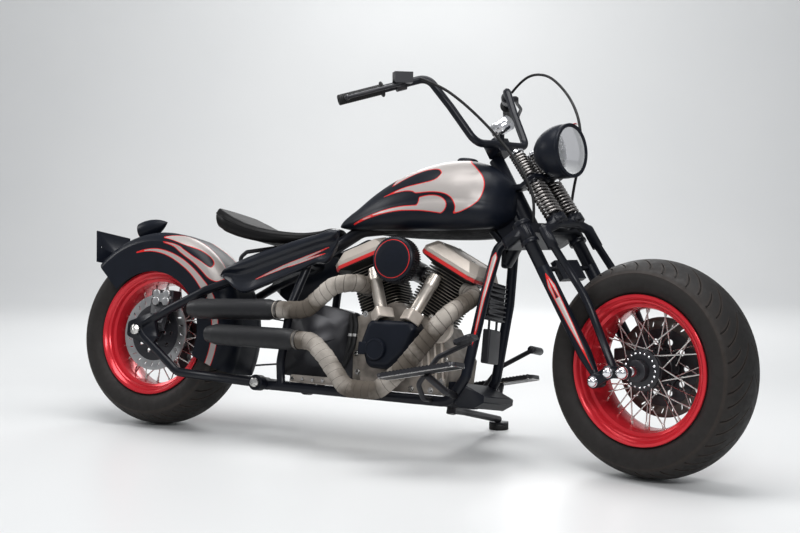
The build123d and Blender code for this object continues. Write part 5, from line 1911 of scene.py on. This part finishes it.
@dataclass
class Controls(Group):
    """Cords and grips on the handlebar."""

    body: Body = Body.FORK
    cord_d: float = 9.0

    @property
    def axes(self) -> Axes:
        """Upright axes of the fork."""
        return self.shop.machine.fork

    def build(self) -> None:
        """Make every control."""
        self.cords()
        self.grips()

    def cords(self) -> None:
        """Brake hose and clutch cable from the bars to the lower crown."""
        hose = (
            (1126, -244, 1206),
            (1190, -226, 1180),
            (1236, -186, 1138),
            (1282, -136, 1078),
            (1334, -104, 1012),
            (1384, -94, 952),
            (1436, -92, 878),
            (1462, -94, 812),
            (1457, -96, 752.9),
        )
        cable = (
            (1104, 262, 1206),
            (1138, 264, 1240),
            (1196, 256, 1262),
            (1276, 232, 1250),
            (1352, 198, 1206),
            (1424, 160, 1146),
            (1474, 128, 1078),
            (1492, 112, 1000),
            (1486, 100, 918),
            (1472, 94, 846),
            (1458, 96, 752.9),
        )
        self.cord("brake_hose", hose)
        self.cord("clutch_cable", cable)

    def cord(self, name: str, points: Sequence[Point]) -> None:
        """One cord as a smooth curve.

        Args:
            name: Name of the piece.
            points: Route on the fork's axes.
        """
        curve = bpy.data.curves.new(name, "CURVE")
        curve.dimensions = "3D"
        spline = curve.splines.new("NURBS")
        spline.points.add(len(points) - 1)
        for control, point in zip(spline.points, points):
            control.co = (*self.axes.at(point), 1.0)
        spline.order_u = 3
        spline.use_endpoint_u = True
        spline.resolution_u = 16
        piece = bpy.data.objects.new(name, curve)
        bpy.context.scene.collection.objects.link(piece)
        line = bpy.data.meshes.new_from_object(piece.evaluated_get(bpy.context.evaluated_depsgraph_get()))
        bpy.data.meshes.remove(line)
        curve.bevel_depth = self.cord_d / 2 * MM
        curve.bevel_resolution = 5
        curve.use_fill_caps = True
        curve.materials.append(GRIP_RUBBER.material())
        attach(piece, self.body.value)
        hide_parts("control_cables")
        self.axes.at(points[0])

    def grips(self) -> None:
        """Ribbed rubber over the bar ends."""
        top, end = Vector((1124, -206, 1212)), Vector((956, -438, 1133))
        way = (end - top).normalized()
        start = top + way * 150
        long = (end - start).length
        profile = [(13.2, 0), (23, 0), (25, 2), (25, 5), (23, 7), (17, 9)]
        ribs = 22
        for i in range(ribs):
            at = 12 + (long - 20) * i / ribs
            pitch = (long - 20) / ribs
            profile += [(16.0, at), (17.0, at + pitch * 0.25), (17.0, at + pitch * 0.75), (16.0, at + pitch)]
        profile += [(17, long - 7), (17, long - 2), (15, long), (13.2, long)]
        shape = Shape().lathe(profile, place(start, way), 32, True)
        self.fit(shape.both_sides(), "grip_rubbers", GRIP_RUBBER, ["grips"], 50.0)


@dataclass
class Trim(Group):
    """Footboard rubbers, the web at the neck and the stripe on the downtubes."""

    tube_r: float = 16.35
    tube: tuple[Point, ...] = ((1252, -120, 250), (1284, -104, 500), (1300, -66, 660))

    def build(self) -> None:
        """Make every piece of trim."""
        self.boards()
        self.neck_web()
        self.tube_stripe()

    def boards(self) -> None:
        """Ribbed rubber and bright edge on both footboards."""
        tilt = Matrix.Translation((1190, -310, 245)) @ Matrix.Rotation(math.radians(-12), 4, "Y")
        edge = Shape()
        edge.plate([oblong(131, 46, 20), oblong(128, 43, 18)], 4, tilt @ Matrix.Translation((0, 0, 1.2)), 0.8)
        self.fit(edge.both_sides(), "board_edges", STEEL)
        rib = Shape().plate([oblong(3, 34, 2.5)], 5, Matrix.Translation((-112, 0, 15.5)), 1.2)
        rows = rib.repeated(Trees.rowed(), {"Count": 19, "Offset": (12.4, 0.0, 0.0)}).mesh()
        rows.transform(tilt)
        self.fit(Shape().take(rows).both_sides(), "board_ribs", GRIP_RUBBER)

    def neck_web(self) -> None:
        """Moulded web between the backbone, the neck and the downtubes."""
        corners_xz = [
            (1196, 762), (1262, 806), (1330, 806), (1384, 716), (1352, 672), (1318, 606), (1292, 606),
            (1290, 668),
        ]
        outline = round_corners([(x, -z) for x, z in corners_xz], 26)
        shape = Shape().plate([outline], 58, LEFT_SIDE, 22)
        self.fit(shape, "neck_web", FRAME_BLACK, crease=70.0)

    def tube_stripe(self) -> None:
        """Pearl blade with red edges along each downtube."""
        path = bent(self.tube[::-1], 50, 4.4)
        shape = Shape().pipe(path[3:], self.tube_r, 56)
        piece = self.fit(shape.both_sides(), "downtube_paint", SCALLOPS)
        spots = self.shop.spots(piece, self.axes)
        height = spots[:, 2]
        xs, ys, zs = zip(*self.tube)
        ahead = spots[:, 0] - np.interp(height, zs, xs)
        turn = np.arctan2(ahead, np.abs(spots[:, 1]) + np.interp(height, zs, ys))
        width = np.interp(height, [330, 400, 560, 628, 650], [-3, 1.2, 4.2, 6.5, -4])
        self.shop.mark(piece, "scallop", np.abs(turn - 0.25) * 16 - width)


@dataclass
class Studio:
    """Pale floor and backdrop, soft lamps and the camera, in metres."""

    machine: Machine
    camera_from_axle: Point = (2.88, -3.64, 0.88)
    yaw: float = math.radians(27.47)
    tilt: float = math.radians(3.92)
    focal_px: float = 1281.0
    image_px: float = 800.0
    sensor: float = 36.0
    floor_near: float = -9.0
    floor_far: float = 4.5
    half_width: float = 14.0
    bend: float = 2.5
    wall_top: float = 7.0

    def build(self) -> None:
        """Make the floor, lamps and camera."""
        self.floor()
        self.lamps()
        self.camera()

    def floor(self) -> None:
        """Floor that sweeps up into a backdrop."""
        back = Vector((-math.sin(self.yaw), math.cos(self.yaw), 0))
        side = Vector((math.cos(self.yaw), math.sin(self.yaw), 0))
        far, bend, steps = self.floor_far, self.bend, 16
        path = [(self.floor_near, 0.0), (far, 0.0)]
        for i in range(1, steps + 1):
            t = math.pi / 2 * i / steps
            path.append((far + bend * math.sin(t), bend - bend * math.cos(t)))
        path.append((far + bend, self.wall_top))
        ends = (-self.half_width, self.half_width)
        bm = bmesh.new()
        rows = [[bm.verts.new(side * s + back * d + Vector((0, 0, z))) for s in ends] for d, z in path]
        for a, b in zip(rows, rows[1:]):
            bm.faces.new((a[0], a[1], b[1], b[0]))
        mesh = bpy.data.meshes.new("floor")
        bm.to_mesh(mesh)
        bm.free()
        mesh.shade_smooth()
        mesh.materials.append(self._pale())
        floor = bpy.data.objects.new("floor", mesh)
        bpy.context.scene.collection.objects.link(floor)
        floor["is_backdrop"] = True

    @staticmethod
    def _pale() -> bpy.types.Material:
        """Pale floor paint with a faint gloss, clear to a camera behind it.

        Returns:
            The material.
        """
        made = bpy.data.materials.new("studio_floor")
        made.use_nodes = True
        graph = Graph(made.node_tree)
        shader = made.node_tree.nodes["Principled BSDF"]
        where = graph.add("ShaderNodeTexCoord").outputs["Object"]
        colour = graph.mix(graph.noise(where, 0.8), (0.66, 0.67, 0.67, 1), (0.72, 0.725, 0.72, 1))
        made.node_tree.links.new(colour, shader.inputs["Base Color"])
        shader.inputs["Roughness"].default_value = 0.35
        shader.inputs["Specular IOR Level"].default_value = 0.25
        behind = graph.add("ShaderNodeNewGeometry").outputs["Backfacing"]
        seen = graph.add("ShaderNodeLightPath").outputs["Is Camera Ray"]
        clear = graph.add("ShaderNodeBsdfTransparent").outputs[0]
        sides = {0: graph.math("MULTIPLY", behind, seen), 1: shader.outputs[0], 2: clear}
        surface = graph.add("ShaderNodeMixShader", sides).outputs[0]
        made.node_tree.links.new(surface, made.node_tree.nodes["Material Output"].inputs["Surface"])
        return made

    def lamps(self) -> None:
        """Soft boxes above and beside, and an even world."""
        world = bpy.data.worlds.new("studio")
        bpy.context.scene.world = world
        world.use_nodes = True
        sky = world.node_tree.nodes["Background"]
        sky.inputs["Color"].default_value = (0.93, 0.95, 1.0, 1.0)
        sky.inputs["Strength"].default_value = 0.42
        # Name, place, aim, width in metres and power in watts.
        rows = (
            ("ceiling", (0.2, -0.3, 3.6), (0, 0, 0.4), 3.4, 120.0),
            ("key", (2.6, -3.4, 2.9), (0.2, 0, 0.5), 1.8, 80.0),
            ("fill", (-4.2, -0.9, 2.5), (-0.3, 0, 0.5), 1.8, 40.0),
            ("back", (-1.5, 3.6, 2.6), (0, 0, 0.5), 2.2, 55.0),
            ("wall", (-1.0, 2.4, 3.4), (-3.2, 6.4, 1.6), 3.0, 130.0),
        )
        for name, spot, aim, size, power in rows:
            light = bpy.data.lights.new(name, "AREA")
            light.shape = "RECTANGLE"
            light.size = size
            light.size_y = size * 0.55
            light.energy = power
            lamp = bpy.data.objects.new(name, light)
            lamp.location = spot
            lamp.rotation_euler = (Vector(aim) - Vector(spot)).to_track_quat("-Z", "Y").to_euler()
            bpy.context.scene.collection.objects.link(lamp)

    def camera(self) -> None:
        """Camera at the photograph's place."""
        data = bpy.data.cameras.new("camera")
        data.sensor_width = self.sensor
        data.lens = self.focal_px / self.image_px * self.sensor
        lens = bpy.data.objects.new("camera", data)
        right = Vector((math.cos(self.yaw), math.sin(self.yaw), 0))
        level = math.cos(self.tilt)
        back = Vector((math.sin(self.yaw) * level, -math.cos(self.yaw) * level, math.sin(self.tilt)))
        turn = Matrix((right, back.cross(right), back)).transposed().to_4x4()
        ground = Vector((*self.machine.chassis.origin.xy, 0))
        lens.matrix_world = Matrix.Translation(ground + Vector(self.camera_from_axle)) @ turn
        bpy.context.scene.collection.objects.link(lens)
        bpy.context.scene.camera = lens


REST_SKINS = (
    ("main_frame", FRAME_BLACK, Body.CHASSIS),
    ("swingarm", FRAME_BLACK, Body.CHASSIS),
    ("chassis_pins", STEEL, Body.CHASSIS),
    ("tail_lamp", BLACK, Body.CHASSIS),
    ("tail_lens", RUBY, Body.CHASSIS),
    ("seat_springs", ENGINE_BLACK, Body.CHASSIS),
    ("crankcase", CASTING, Body.CHASSIS),
    ("gearbox", ENGINE_BLACK, Body.CHASSIS),
    ("primary_cover", ENGINE_BLACK, Body.CHASSIS),
    ("mufflers", MUFFLER_BLACK, Body.CHASSIS),
    ("front_boxes", ENGINE_BLACK, Body.CHASSIS),
    ("foot_controls", ENGINE_BLACK, Body.CHASSIS),
    ("rear_caliper", ENGINE_BLACK, Body.CHASSIS),
    ("drive_belt", GRIP_RUBBER, Body.CHASSIS),
    ("rear_pulley", ENGINE_BLACK, Body.REAR),
    ("rear_legs", FRAME_BLACK, Body.FORK),
    ("front_legs", FRAME_BLACK, Body.FORK),
    ("rockers", FRAME_BLACK, Body.FORK),
    ("front_axle", CHROME, Body.FORK),
    ("front_caliper", ENGINE_BLACK, Body.FORK),
    ("handlebar", FRAME_BLACK, Body.FORK),
    ("hand_controls", ENGINE_BLACK, Body.FORK),
    ("headlamp", BLACK, Body.FORK),
    ("gauge", CHROME, Body.FORK),
    ("side_stand", ENGINE_BLACK, Body.STAND),
    ("stand_puck", GRIP_RUBBER, Body.STAND),
)


def corners() -> list[list[float]]:
    """Lowest and highest corner of what shows now."""
    return [list(corner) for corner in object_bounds()]


def main() -> None:
    """Build every piece around the loaded frame."""
    logging.basicConfig(level=logging.INFO, format="%(message)s")
    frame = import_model()
    bpy.context.scene.view_settings.view_transform = "Standard"
    machine = Machine(frame)
    shop = Workshop(machine)
    front = Wheel(shop, Body.FRONT, "front")
    front.build(left_face=96, right_face=96)
    front.hub_cap()
    front.disc(radius=150.0, y=62.0, finish=DARK_DISC)
    rear = Wheel(shop, Body.REAR, "rear")
    rear.build(left_face=134, right_face=84)
    rear.disc(radius=135.0, y=-62.0, finish=DISC_STEEL)
    for group in (Bodywork, Engine, Exhaust, Springer, Lamp, Controls, Trim):
        group(shop).build()
    for node, finish, body in REST_SKINS:
        shop.skin(node, finish, body)
    Studio(machine).build()
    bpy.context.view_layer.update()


if __name__ == "__main__":
    main()
